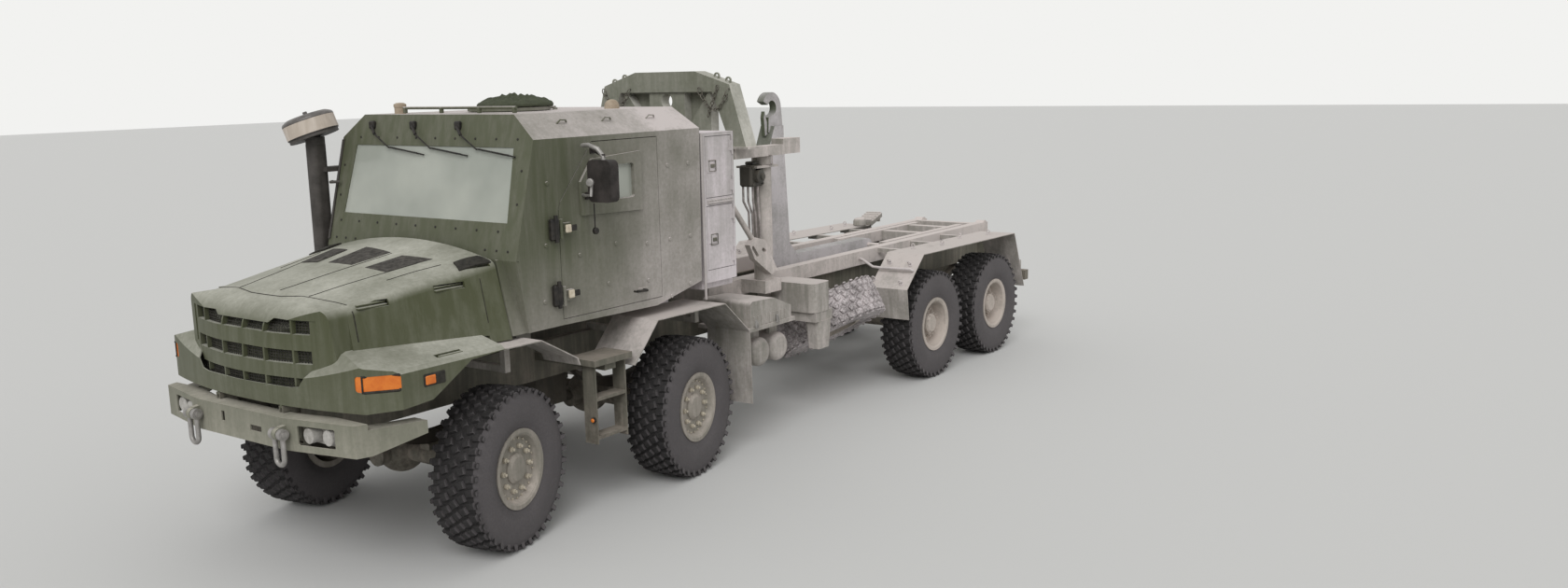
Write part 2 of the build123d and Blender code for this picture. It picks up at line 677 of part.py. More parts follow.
def hood_wings(inset, floor, rear):
    """The wings: a cross-section with sloping tops, cut to the plan and to the side profile."""
    with BuildPart() as wings:
        with BuildSketch(Plane.YZ.offset(rear)):
            with BuildLine():
                Polyline(
                    (WING_Y - inset, 1200 - floor),
                    (WING_Y - inset, WING_TOP_OUT - 25 - inset),
                    (WING_Y - 30 - inset, WING_TOP_OUT - inset),
                    (800, WING_TOP_IN - inset),
                    (-800, WING_TOP_IN - inset),
                    (-WING_Y + 30 + inset, WING_TOP_OUT - inset),
                    (-WING_Y + inset, WING_TOP_OUT - 25 - inset),
                    (-WING_Y + inset, 1200 - floor),
                    close=True,
                )
            make_face()
        extrude(amount=NOSE_X - rear)
        with BuildSketch(Plane.XY.offset(1000)):
            with BuildLine():
                front = Polyline(
                    (AXLE_1 + 900, WING_Y - inset),
                    (rear, WING_Y - inset),
                    (rear, -WING_Y + inset),
                    (AXLE_1 + 900, -WING_Y + inset),
                    (AXLE_1 + 1080 - inset, -1100 + inset / 2),
                )
                ThreePointArc(
                    (AXLE_1 + 1080 - inset, -1100 + inset / 2),
                    (NOSE_X - 4 - inset, 0),
                    (AXLE_1 + 1080 - inset, 1100 - inset / 2),
                )
                Line((AXLE_1 + 1080 - inset, 1100 - inset / 2), (AXLE_1 + 900, WING_Y - inset))
            make_face()
        extrude(amount=900, mode=Mode.INTERSECT)
        with BuildSketch(Plane.XZ):
            with BuildLine():
                Polyline(
                    (rear, 1700),
                    (AXLE_1 + 760, 1700),
                    (AXLE_1 + 1040 - inset, 1600 - inset),
                    (AXLE_1 + 1200 - inset, 1430),
                    (NOSE_X - inset, 1330),
                    (NOSE_X - 8 - inset, CHIN_Z - floor),
                    (AXLE_1 + 660 + inset, CHIN_Z - floor),
                    (rear, CHIN_Z - floor),
                    close=True,
                )
            make_face()
        extrude(amount=1400, both=True, mode=Mode.INTERSECT)
    return wings.part


# Front opening of the grille, seen from ahead
GRILLE_OPENING = [(705, 1822), (340, 1822), (290, 1790)]
GRILLE_LOW = [(705, 1560), (560, 1385), (480, 1375)]
GRILLE_ROWS = [(1727, 1822), (1531, 1620), (1375, 1435)]
GRILLE_BAR_DEPTH = 55
GRILLE_DIVIDERS = [240, 505]
DIVIDER_WIDTH = 14
MESH_DEPTH = 6
MESH_LAP = 80
GRILLE_SINK = 5
# Slots through the moulding: x, y, z of the middle, length, width, height
HOOD_SLOTS = [
    (760, 860, 1885, 230, 130, 44),
    (185, 930, 1925, 240, 130, 44),
    (440, 1150, 1540, 220, 44, 80),
    (-40, 905, 2052, 260, 70, 60),
]
# Wing lamps: each follows the wing round its front corner
LAMP_CORNER = (AXLE_1 + 1000, 1135, 1440)
LAMP_SWEEP = 38
WING_LAMP = (285, 104, 22)


def lamp_sketch(side):
    """A wing lamp's outline, seen square to the wing's corner on the left (1) or right (-1)."""
    turn = radians(LAMP_SWEEP)
    corner = Plane(
        origin=(LAMP_CORNER[0], side * LAMP_CORNER[1], LAMP_CORNER[2]),
        x_dir=(-sin(turn), side * cos(turn), 0),
        z_dir=(cos(turn), side * sin(turn), 0),
    )
    with BuildSketch(corner) as outline:
        RectangleRounded(*WING_LAMP)
    return outline.sketch


def grille_sketch(margin):
    """Front view of the grille opening, moved in by a margin."""
    right = [(y - margin, z - margin) for y, z in GRILLE_OPENING]
    low = [(y - margin, z + margin) for y, z in GRILLE_LOW]
    half = list(reversed(right)) + low
    left = [(-y, z) for y, z in reversed(half)]
    with BuildSketch(Plane.YZ.offset(AXLE_1 + 860)) as opening:
        with BuildLine():
            Polyline(*half, *left, close=True)
        make_face()
    return opening.sketch


with BuildPart() as hood:
    add(hood_body(0, HOOD_REAR_X, HOOD_FRONT_X, 0))
    add(hood_nose(0, 0))
    add(hood_wings(0, 0, WING_REAR_X))
    add(hood_body(HOOD_WALL, HOOD_REAR_X - 60, HOOD_FRONT_X - 10, 60), mode=Mode.SUBTRACT)
    add(hood_nose(HOOD_WALL, 60), mode=Mode.SUBTRACT)
    add(hood_wings(HOOD_WALL, 60, WING_REAR_X - 60), mode=Mode.SUBTRACT)
    # wheel arch
    with BuildSketch(Plane.XZ):
        with BuildLine():
            Polyline(
                (AXLE_1 + 1090, CHIN_Z),
                *[(AXLE_1 + x, z) for x, z in ARCH],
                (WING_REAR_X - 80, ARCH[-1][1]),
                (WING_REAR_X - 80, CHIN_Z - 60),
                (AXLE_1 + 1090, CHIN_Z - 60),
                close=True,
            )
        make_face()
    extrude(amount=1400, both=True, mode=Mode.SUBTRACT)
    # hinge lugs inside the chin
    for side in (1, -1):
        with Locations((HOOD_HINGE_X + 6, side * HOOD_HINGE_Y, HOOD_HINGE_Z + 42)):
            Box(46, 18, 72)
        with Locations((HOOD_HINGE_X, side * HOOD_HINGE_Y, HOOD_HINGE_Z)):
            Cylinder(18, 18, rotation=(90, 0, 0))
        with Locations((HOOD_HINGE_X, side * HOOD_HINGE_Y, HOOD_HINGE_Z)):
            Cylinder(HOOD_PIN_R + RUNNING_FIT, 60, rotation=(90, 0, 0), mode=Mode.SUBTRACT)
    extrude(grille_sketch(0), amount=500, mode=Mode.SUBTRACT)
    # hand slots along the shoulders and on the wings, and the notch by the windscreen
    for x, y, z, length, width, height in HOOD_SLOTS:
        for side in (1, -1):
            with Locations((AXLE_1 + x, side * y, z)):
                Box(length, width, height, mode=Mode.SUBTRACT)
    for side in (1, -1):
        extrude(lamp_sketch(side), amount=120, both=True, mode=Mode.SUBTRACT)
hood.part.label = "hood"
export_step(hood.part, "parts/hood.step")

# Grille: three bowed bars with upright dividers, and a mesh plate behind them
with BuildPart() as grille:
    extrude(grille_sketch(0), amount=500)
    add(hood_nose(GRILLE_SINK, 0), mode=Mode.INTERSECT)
    add(hood_nose(GRILLE_SINK + GRILLE_BAR_DEPTH, 60), mode=Mode.SUBTRACT)
    with BuildSketch(Plane.YZ.offset(AXLE_1 + 860)):
        for low, high in GRILLE_ROWS:
            stations = [0] + GRILLE_DIVIDERS + [660]
            for start, end in zip(stations, stations[1:]):
                for side in (1, -1):
                    with Locations((side * (start + end) / 2, (low + high) / 2)):
                        Rectangle(end - start - DIVIDER_WIDTH, high - low)
    extrude(amount=500, mode=Mode.SUBTRACT)
with BuildPart() as grille_mesh:
    extrude(grille_sketch(-MESH_LAP), amount=500)
    add(hood_nose(GRILLE_SINK + GRILLE_BAR_DEPTH, 0), mode=Mode.INTERSECT)
    add(hood_nose(GRILLE_SINK + GRILLE_BAR_DEPTH + MESH_DEPTH, 60), mode=Mode.SUBTRACT)
    add(grille.part)
grille_mesh.part.label = "grille"
export_step(grille_mesh.part, "parts/grille.step")

# Wing lamps: an indicator lens in each wing's window, a little under the wing's surface
LENS_SINK = 3
LENS_DEPTH = 35
with BuildPart() as wing_lamps:
    for side in (1, -1):
        extrude(lamp_sketch(side), amount=120, both=True)
    add(hood_wings(LENS_SINK, 0, WING_REAR_X), mode=Mode.INTERSECT)
    add(hood_wings(LENS_SINK + LENS_DEPTH, 60, WING_REAR_X - 60), mode=Mode.SUBTRACT)
wing_lamps.part.label = "wing_lamps"
export_step(wing_lamps.part, "parts/wing_lamps.step")

# Cab shell: welded armour plate, hollow, with door openings and an open front above the cowl
FRONT_SLOPE = 0.2678
FRONT_NORMAL = Vector(1, 0, FRONT_SLOPE).normalized()
FRONT_PLANE = Plane(origin=(COWL_X, 0, COWL_Z), x_dir=(0, 1, 0), z_dir=FRONT_NORMAL)
FRAME_PLATE = 25
GLASS = [(904, 820), (945, 270)]
DOOR = [(-1081, 2860), (-723, 2439), (-700, 2380), (-700, 1560), (-1826, 1560), (-1826, 2860)]


def cab_form(inset):
    """The cab's outside from its side profile and cross-section, moved in by a wall."""
    with BuildPart() as form:
        with BuildSketch(Plane.XZ):
            with BuildLine():
                Polyline(
                    (CAB_TOE_X, CAB_FLOOR_Z),
                    (COWL_X, COWL_Z),
                    (COWL_X - FRONT_SLOPE * (ROOF_Z - COWL_Z), ROOF_Z),
                    (CAB_REAR_X + 66, ROOF_Z),
                    (CAB_REAR_X, CAB_KINK_Z),
                    (CAB_REAR_X + 30, CAB_FLOOR_Z + 100),
                    (AXLE_1 - 1764, CAB_FLOOR_Z - FLOOR_FALL),
                    (AXLE_1 - 692, CAB_FLOOR_Z),
                    close=True,
                )
            make_face()
            if inset:
                offset(amount=-inset, kind=Kind.INTERSECTION, mode=Mode.REPLACE)
        extrude(amount=2 * CAB_HALF_WIDTH, both=True)
        with BuildSketch(Plane.YZ.offset(CAB_REAR_X - 50)):
            with BuildLine():
                Polyline(
                    (CAB_HALF_WIDTH, 1200),
                    (CAB_HALF_WIDTH, CAB_KINK_Z),
                    (ROOF_HALF_WIDTH, ROOF_Z),
                    (-ROOF_HALF_WIDTH, ROOF_Z),
                    (-CAB_HALF_WIDTH, CAB_KINK_Z),
                    (-CAB_HALF_WIDTH, 1200),
                    close=True,
                )
            make_face()
            if inset:
                offset(amount=-inset, kind=Kind.INTERSECTION, mode=Mode.REPLACE)
        extrude(amount=3000, mode=Mode.INTERSECT)
    return form.part


def door_sketch(margin, at_y):
    """Side view of the door, moved in by a margin, on the plane at a given Y."""
    with BuildSketch(Plane.XZ.offset(-at_y)) as outline:
        with BuildLine():
            Polyline(*[(AXLE_1 + x, z) for x, z in DOOR], close=True)
        make_face()
        if margin:
            offset(amount=-margin, kind=Kind.INTERSECTION, mode=Mode.REPLACE)
    return outline.sketch


HATCH_X = AXLE_1 - 1290
HATCH_R = 300
HATCH_HINGE_X = HATCH_X - 352
HATCH_HINGE_Z = ROOF_Z + 20
HATCH_HINGE_Y = 110
DOOR_HINGE_X = AXLE_1 - 690
DOOR_HINGE_Y = CAB_HALF_WIDTH + 34
DOOR_HINGE_Z = [2242, 1743]
HINGE_R = 14
# cowl between the hood and the cab: shoulder half width and height, crown height
COWL_FRONT_X = HOOD_REAR_X - PANEL_GAP
COWL_SHOULDER_Y = 945
COWL_SHOULDER_Z = 2060
COWL_CROWN_Z = 2180


def cowl_form(margin, floor):
    """The cowl's cross-section between the hood and the cab, moved in by a wall."""
    shoulder_y = COWL_SHOULDER_Y - margin
    shoulder_z = COWL_SHOULDER_Z - margin
    with BuildPart() as form:
        with BuildSketch(Plane.YZ.offset(CAB_KINK_X)):
            with BuildLine():
                Polyline(
                    (shoulder_y, shoulder_z),
                    (1071 - margin, CAB_FLOOR_Z - floor),
                    (-1071 + margin, CAB_FLOOR_Z - floor),
                    (-shoulder_y, shoulder_z),
                )
                ThreePointArc((-shoulder_y, shoulder_z), (0, COWL_CROWN_Z - margin), (shoulder_y, shoulder_z))
            make_face()
        extrude(amount=COWL_FRONT_X - CAB_KINK_X)
    return form.part


with BuildPart() as cab_shell:
    add(cowl_form(0, 0))
    add(cowl_form(HOOD_WALL, 60), mode=Mode.SUBTRACT)
    add(cab_form(0))
    add(cab_form(CAB_WALL), mode=Mode.SUBTRACT)
    with BuildSketch(FRONT_PLANE.offset(200)):
        with Locations((0, 570)):
            Rectangle(2400, 1140)
    extrude(amount=-200 - FRAME_PLATE, mode=Mode.SUBTRACT)
    with BuildSketch(FRONT_PLANE.offset(50)):
        with Locations((0, 570)):
            Rectangle(1840, 620)
    extrude(amount=-250, mode=Mode.SUBTRACT)
    extrude(door_sketch(0, 1300), amount=2600, mode=Mode.SUBTRACT)
    with Locations((HATCH_X, 0, ROOF_Z)):
        Cylinder(HATCH_R, 400, mode=Mode.SUBTRACT)
    # mounts on the frame rails
    for side in (1, -1):
        for x, top in ((-900, CAB_FLOOR_Z + 10), (-2080, CAB_FLOOR_Z + 70)):
            with Locations((AXLE_1 + x, side * 390, (RAIL_TOP + top) / 2)):
                Box(160, 80, top - RAIL_TOP)
    # fixed halves of the door hinges
    for side in (1, -1):
        for z in DOOR_HINGE_Z:
            for dz in (-56, 56):
                with Locations((DOOR_HINGE_X, side * DOOR_HINGE_Y, z + dz)):
                    Cylinder(HINGE_R, 32)
                with Locations((DOOR_HINGE_X + 22, side * (CAB_HALF_WIDTH + 16), z + dz)):
                    Box(40, 36, 32)
    # fixed halves of the hatch hinge
    for side in (1, -1):
        for dy in (-42, 42):
            with Locations((HATCH_HINGE_X, side * HATCH_HINGE_Y + dy, HATCH_HINGE_Z)):
                Cylinder(12, 20, rotation=(90, 0, 0))
            with Locations((HATCH_HINGE_X - 10, side * HATCH_HINGE_Y + dy, ROOF_Z + 8)):
                Box(36, 20, 20)
cab_shell.part.label = "cab_shell"
export_step(cab_shell.part, "parts/cab_shell.step")

# Windscreen: a bolted plate frame over the cab's open front, and the flat glass in it
GLASS_T = 18
with BuildPart() as windscreen_frame:
    add(cab_form(0))
    with BuildSketch(FRONT_PLANE.offset(-FRAME_PLATE)):
        with Locations((0, 600)):
            Rectangle(2400, 1200)
    extrude(amount=400, mode=Mode.INTERSECT)
    with BuildSketch(Plane.XY.offset(1000)):
        with Locations((CAB_KINK_X, 0)):
            Rectangle(1400, 2400)
    extrude(amount=COWL_Z - 1000, mode=Mode.SUBTRACT)
    with BuildSketch(FRONT_PLANE.offset(-60)):
        with BuildLine():
            Polyline(
                (GLASS[0][0], GLASS[0][1]),
                (GLASS[1][0], GLASS[1][1]),
                (-GLASS[1][0], GLASS[1][1]),
                (-GLASS[0][0], GLASS[0][1]),
                close=True,
            )
        make_face()
    extrude(amount=120, mode=Mode.SUBTRACT)
windscreen_frame.part.label = "windscreen_frame"
export_step(windscreen_frame.part, "parts/windscreen_frame.step")

with BuildPart() as windscreen:
    with BuildSketch(FRONT_PLANE.offset(-FRAME_PLATE)):
        with BuildLine():
            Polyline(
                (GLASS[0][0], GLASS[0][1]),
                (GLASS[1][0], GLASS[1][1]),
                (-GLASS[1][0], GLASS[1][1]),
                (-GLASS[0][0], GLASS[0][1]),
                close=True,
            )
        make_face()
    extrude(amount=GLASS_T)
windscreen.part.label = "windscreen"
export_step(windscreen.part, "parts/windscreen.step")

# Roof hatch: a round lid on a raised ring, hinged behind
with BuildPart() as roof_hatch:
    with Locations((HATCH_X, 0, ROOF_Z + 18)):
        Cylinder(HATCH_R + 30, 24)
    with Locations((HATCH_X, 0, ROOF_Z - 10)):
        Cylinder(HATCH_R - PANEL_GAP, 40)
    for side in (1, -1):
        with Locations((HATCH_HINGE_X + 20, side * HATCH_HINGE_Y, ROOF_Z + 20)):
            Box(40, 60, 16)
        with Locations((HATCH_HINGE_X, side * HATCH_HINGE_Y, HATCH_HINGE_Z)):
            Cylinder(12, 60, rotation=(90, 0, 0))
roof_hatch.part.label = "roof_hatch"
export_step(roof_hatch.part, "parts/roof_hatch.step")

# Doors: a plate in its opening, hinged outside its front edge, with a raised window frame
WINDOW_FRAME = [(-1058, 2730), (-928, 2566), (-930, 2315), (-1608, 2297), (-1608, 2760)]
WINDOW = (-1370, 2538, 300, 266)
WINDOW_FRAME_T = 22
SIDE_GLASS_T = 30
MIRROR_BODY = (-945, CAB_HALF_WIDTH + 243, 2580)
MIRROR_WIDTH = 230
MIRROR_HEIGHT = 310
# mirror pads on the door: x, face y, z
MIRROR_PADS = [(-1085, CAB_HALF_WIDTH, 2795), (-990, CAB_HALF_WIDTH + WINDOW_FRAME_T, 2459)]

for side_name, side in (("left", 1), ("right", -1)):
    door_face = CAB_HALF_WIDTH * side
    with BuildPart() as door:
        extrude(door_sketch(PANEL_GAP, door_face), amount=CAB_WALL * side)
        with BuildSketch(Plane.XZ.offset(-door_face)):
            with BuildLine():
                Polyline(*[(AXLE_1 + x, z) for x, z in WINDOW_FRAME], close=True)
            make_face()
        extrude(amount=-WINDOW_FRAME_T * side)
        with BuildSketch(Plane.XZ.offset(-door_face - 40 * side)):
            with Locations((AXLE_1 + WINDOW[0], WINDOW[1])):
                RectangleRounded(WINDOW[2], WINDOW[3], 30)
        extrude(amount=120 * side, mode=Mode.SUBTRACT)
        # middle hinge barrels with their straps
        for z in DOOR_HINGE_Z:
            with Locations((DOOR_HINGE_X, side * DOOR_HINGE_Y, z)):
                Cylinder(HINGE_R, 78)
            with Locations((DOOR_HINGE_X - 60, side * (CAB_HALF_WIDTH + 17), z)):
                Box(96, 34, 78)
        # handle recess plate
        with Locations((AXLE_1 - 1580, side * (CAB_HALF_WIDTH + 8), 1658)):
            Box(120, 16, 30)
    door.part.label = f"door_{side_name}"
    export_step(door.part, f"parts/door_{side_name}.step")

    with BuildPart() as door_window:
        with BuildSketch(Plane.XZ.offset(-side * (CAB_HALF_WIDTH - 10))):
            with Locations((AXLE_1 + WINDOW[0], WINDOW[1])):
                RectangleRounded(WINDOW[2], WINDOW[3], 30)
        extrude(amount=SIDE_GLASS_T * side)
    door_window.part.label = f"door_window_{side_name}"
    export_step(door_window.part, f"parts/door_window_{side_name}.step")

    mirror_x = AXLE_1 + MIRROR_BODY[0]
    mirror_y = side * MIRROR_BODY[1]
    mirror_z = MIRROR_BODY[2]
    with BuildPart() as door_mirror:
        with BuildSketch(Plane.YZ.offset(mirror_x - 35)):
            with Locations((mirror_y, mirror_z)):
                RectangleRounded(MIRROR_WIDTH, MIRROR_HEIGHT, 45)
        extrude(amount=90)
        # two arms from pads on the door, the upper one bent down into the housing
        for x, pad_y, z in MIRROR_PADS:
            with Locations((AXLE_1 + x, side * (pad_y + 6), z)):
                Box(54, 12, 54)
        upper, lower = MIRROR_PADS
        top_z = mirror_z + MIRROR_HEIGHT / 2 + 30
        add(rod_between((AXLE_1 + upper[0], side * (upper[1] + 9), upper[2]), (mirror_x, mirror_y, top_z), 13))
        add(rod_between((mirror_x, mirror_y, top_z + 12), (mirror_x, mirror_y, mirror_z), 16))
        low_end = (mirror_x, mirror_y - side * 60, mirror_z - 90)
        add(rod_between((AXLE_1 + lower[0], side * (lower[1] + 9), lower[2]), low_end, 13))
        with Locations((AXLE_1 + lower[0] + 8, side * (lower[1] + 36), lower[2] + 8)):
            Sphere(26)
    door_mirror.part.label = f"mirror_{side_name}"
    export_step(door_mirror.part, f"parts/mirror_{side_name}.step")

# Cab hinges' fixed halves ride on the shell; seats and dashboard inside
SEAT_X = AXLE_1 - 1500
SEAT_Y = [-560, 0, 560]


def cab_floor(x):
    """Height of the cab's inner floor, which falls a little to the rear."""
    front_x = AXLE_1 - 692
    fall = FLOOR_FALL / (front_x - AXLE_1 + 1764)
    return CAB_FLOOR_Z + CAB_WALL * (1 + fall**2) ** 0.5 - fall * (front_x - x)


with BuildPart() as seats:
    for y in SEAT_Y:
        with BuildSketch(Plane.XZ.offset(-y - 230)):
            with BuildLine():
                Polyline(
                    (SEAT_X - 220, cab_floor(SEAT_X - 220)),
                    (SEAT_X + 180, cab_floor(SEAT_X + 180)),
                    (SEAT_X + 260, CAB_FLOOR_Z + 430),
                    (SEAT_X + 250, CAB_FLOOR_Z + 510),
                    (SEAT_X - 130, CAB_FLOOR_Z + 480),
                    (SEAT_X - 260, CAB_FLOOR_Z + 1120),
                    (SEAT_X - 350, CAB_FLOOR_Z + 1110),
                    (SEAT_X - 240, CAB_FLOOR_Z + 440),
                    close=True,
                )
            make_face()
        extrude(amount=460)
seats.part.label = "seats"
export_step(seats.part, "parts/seats.step")

STEERING_Y = 560
WHEEL_RING_R = 225
with BuildPart() as dashboard:
    with BuildSketch(Plane.XZ.offset(-900)):
        with BuildLine():
            Polyline(
                (AXLE_1 - 420, CAB_FLOOR_Z + CAB_WALL),
                (AXLE_1 - 400, 2120),
                (AXLE_1 - 560, 2180),
                (AXLE_1 - 760, 2120),
                (AXLE_1 - 640, 1900),
                (AXLE_1 - 600, CAB_FLOOR_Z + CAB_WALL),
                close=True,
            )
        make_face()
    extrude(amount=1800)
    column = Plane(origin=(AXLE_1 - 660, STEERING_Y, 2060), z_dir=(-0.72, 0, 0.69))
    with BuildSketch(column):
        Circle(28)
    extrude(amount=230)
    with BuildSketch(Plane(origin=column.origin + column.z_dir * 215, x_dir=(0, 1, 0), z_dir=column.z_dir)):
        Circle(WHEEL_RING_R)
        Circle(WHEEL_RING_R - 28, mode=Mode.SUBTRACT)
        Rectangle(2 * WHEEL_RING_R - 20, 40)
        Rectangle(40, 2 * WHEEL_RING_R - 20)
    extrude(amount=26)
dashboard.part.label = "dashboard"
export_step(dashboard.part, "parts/dashboard.step")

# Air intake on the right: a pipe up the cab's corner with a round pre-cleaner on top
SNORKEL = (AXLE_1 - 300, -CAB_HALF_WIDTH - 108)
PRECLEANER_R = 205
PRECLEANER_LEAN = (0.19, -0.27, 1)
with BuildPart() as snorkel:
    with BuildSketch(Plane.XY.offset(1950)):
        with Locations(SNORKEL):
            RectangleRounded(150, 120, 50)
    extrude(amount=900)
    with BuildSketch(Plane.XY.offset(2850)):
        with Locations(SNORKEL):
            Circle(75)
    extrude(amount=60)
    # leaning pre-cleaner: a band under the drum and a low domed lid
    cap = Plane(origin=(SNORKEL[0], SNORKEL[1], 2905), z_dir=PRECLEANER_LEAN)
    with BuildSketch(cap):
        Circle(PRECLEANER_R - 8)
    extrude(amount=26)
    with BuildSketch(cap.offset(26)):
        Circle(PRECLEANER_R)
    extrude(amount=118)
    with BuildSketch(cap.offset(144)):
        Circle(PRECLEANER_R)
    extrude(amount=34, taper=55)
    # brackets to the cab's side
    for z in (2150, 2650):
        with Locations((AXLE_1 - 430, -CAB_HALF_WIDTH - 50, z)):
            Box(240, 100, 40)
snorkel.part.label = "snorkel"
export_step(snorkel.part, "parts/snorkel.step")

# Fenders of plate: the front fenders' rear parts and the second axle's fenders with mud flaps
FENDER_T = 8
FENDER_OUT = 1240
FENDER_IN = 760
FRONT_FENDER = [(14, 1487), (-330, 1483), (-678, 1289), (-702, 1232)]
CARRIER = 50
CARRIER_IN = 365
CARRIER_OUT = 1010
# carriers: x, z of the sheet above
FENDER_CARRIERS = [(-200, 1484), (-1700, 1416), (-2350, 1412)]
SECOND_FENDER = [(-1297, 1109), (-1592, 1418), (-2460, 1412), (-2796, 1115), (-2809, 457)]


def bent_sheet(points, thickness):
    """A sheet's side view along a bent line, on the middle plane of the truck."""
    with BuildSketch(Plane.XZ) as band:
        with BuildLine() as bend:
            Polyline(*[(AXLE_1 + x, z) for x, z in points])
        trace(line_width=thickness)
    return band.sketch


with BuildPart() as front_fenders:
    for side in (1, -1):
        for points, inner in ((FRONT_FENDER, 860), (SECOND_FENDER, FENDER_IN)):
            extrude(
                bent_sheet(points, FENDER_T).moved(Location((0, side * FENDER_OUT, 0))),
                amount=side * (FENDER_OUT - inner),
            )
        # carriers: an arm out from the rail's top and a post up to the sheet
        for x, top in FENDER_CARRIERS:
            with Locations((AXLE_1 + x, side * (CARRIER_IN + CARRIER_OUT) / 2, RAIL_TOP + CARRIER / 2)):
                Box(CARRIER, CARRIER_OUT - CARRIER_IN, CARRIER)
            with Locations((AXLE_1 + x, side * (CARRIER_OUT - CARRIER / 2), (RAIL_TOP + top) / 2)):
                Box(CARRIER, CARRIER, top - RAIL_TOP)
front_fenders.part.label = "front_fenders"
export_step(front_fenders.part, "parts/front_fenders.step")

# Cab steps under each door: side plates with two rungs
STEP_X = -1070
STEP_WIDTH = 330
STEP_RUNGS = [610, 910]
STEP_PLATE_Z = 1225
STEP_PLATE = 47
STEP_PLATE_LENGTH = 420
with BuildPart() as cab_steps:
    for side in (1, -1):
        for x in (STEP_X - STEP_WIDTH / 2, STEP_X + STEP_WIDTH / 2):
            with Locations((AXLE_1 + x, side * 1125, 870)):
                Box(12, 130, 620)
        for z in STEP_RUNGS:
            with Locations((AXLE_1 + STEP_X, side * 1130, z)):
                Box(STEP_WIDTH, 120, 25)
        with Locations((AXLE_1 + STEP_X, side * 810, 1150)):
            Box(120, 760, 60)
        with Locations((AXLE_1 + STEP_X, side * 1080, STEP_PLATE_Z - STEP_PLATE / 2)):
            Box(STEP_PLATE_LENGTH, 300, STEP_PLATE)
cab_steps.part.label = "cab_steps"
export_step(cab_steps.part, "parts/cab_steps.step")

# Rear fenders over both rear axles
REAR_FENDER = [(-5580, 740), (-5544, 1065), (-5906, 1395), (-8139, 1372), (-8421, 691)]
REAR_FENDER_IN = 790
REAR_FENDER_CARRIERS = [(-6205, 1365), (-6930, 1357), (-7655, 1350)]
with BuildPart() as rear_fenders:
    for side in (1, -1):
        extrude(
            bent_sheet(REAR_FENDER, FENDER_T).moved(Location((0, side * FENDER_OUT, 0))),
            amount=side * (FENDER_OUT - REAR_FENDER_IN),
        )
        for x, z in REAR_FENDER_CARRIERS:
            with Locations((AXLE_1 + x, side * (BEAM_OUT + 930) / 2, z)):
                Box(70, 930 - BEAM_OUT, 50)
rear_fenders.part.label = "rear_fenders"
export_step(rear_fenders.part, "parts/rear_fenders.step")

# Tall side locker behind the cab on the left, with two doors hinged at their rear edges
LOCKER_FRONT = -2400
LOCKER_REAR = -2820
LOCKER_IN_Y = 500
LOCKER_LOW = 1586
LOCKER_HIGH = 2855
LOCKER_WALL = 6
LOCKER_FRAME = 30
LOCKER_MID = 2272
LOCKER_SKIRT = 104
LOCKER_STRIP = 66
LOCKER_DOOR_T = 22
LOCKER_LENGTH = LOCKER_FRONT - LOCKER_REAR
LOCKER_MID_X = AXLE_1 + (LOCKER_FRONT + LOCKER_REAR) / 2
LOCKER_HINGE_X = AXLE_1 + LOCKER_REAR + LOCKER_FRAME - 4
LOCKER_HINGE_Y = CAB_HALF_WIDTH + 8
# door rows: name, lowest z, highest z
LOCKER_DOORS = [
    ("locker_door_lower", LOCKER_LOW + LOCKER_SKIRT, LOCKER_MID - LOCKER_STRIP / 2),
    ("locker_door_upper", LOCKER_MID + LOCKER_STRIP / 2, LOCKER_HIGH - LOCKER_FRAME),
]
with BuildPart() as side_locker:
    with Locations((LOCKER_MID_X, (LOCKER_IN_Y + CAB_HALF_WIDTH) / 2, (LOCKER_LOW + LOCKER_HIGH) / 2)):
        Box(LOCKER_LENGTH, CAB_HALF_WIDTH - LOCKER_IN_Y, LOCKER_HIGH - LOCKER_LOW)
    with Locations((LOCKER_MID_X, (LOCKER_IN_Y + CAB_HALF_WIDTH) / 2, (LOCKER_LOW + LOCKER_HIGH) / 2)):
        Box(
            LOCKER_LENGTH - 2 * LOCKER_WALL,
            CAB_HALF_WIDTH - LOCKER_IN_Y - 2 * LOCKER_WALL,
            LOCKER_HIGH - LOCKER_LOW - 2 * LOCKER_WALL,
            mode=Mode.SUBTRACT,
        )
    for name, low, high in LOCKER_DOORS:
        with Locations((LOCKER_MID_X, CAB_HALF_WIDTH, (low + high) / 2)):
            Box(LOCKER_LENGTH - 2 * LOCKER_FRAME, 60, high - low, mode=Mode.SUBTRACT)
        for z in (low + 90, high - 90):
            for dz in (-62, 62):
                with Locations((LOCKER_HINGE_X, LOCKER_HINGE_Y, z + dz)):
                    Cylinder(7, 32)
                with Locations((LOCKER_HINGE_X - 8, CAB_HALF_WIDTH + 2, z + dz)):
                    Box(18, 12, 32)
    # carrier that stands on the frame rail
    with Locations((LOCKER_MID_X, 700, LOCKER_LOW - 30)):
        Box(LOCKER_LENGTH, 680, 60)
    with Locations((LOCKER_MID_X, 385, (RAIL_TOP + LOCKER_LOW) / 2)):
        Box(120, 70, LOCKER_LOW - RAIL_TOP)
side_locker.part.label = "side_locker"
export_step(side_locker.part, "parts/side_locker.step")

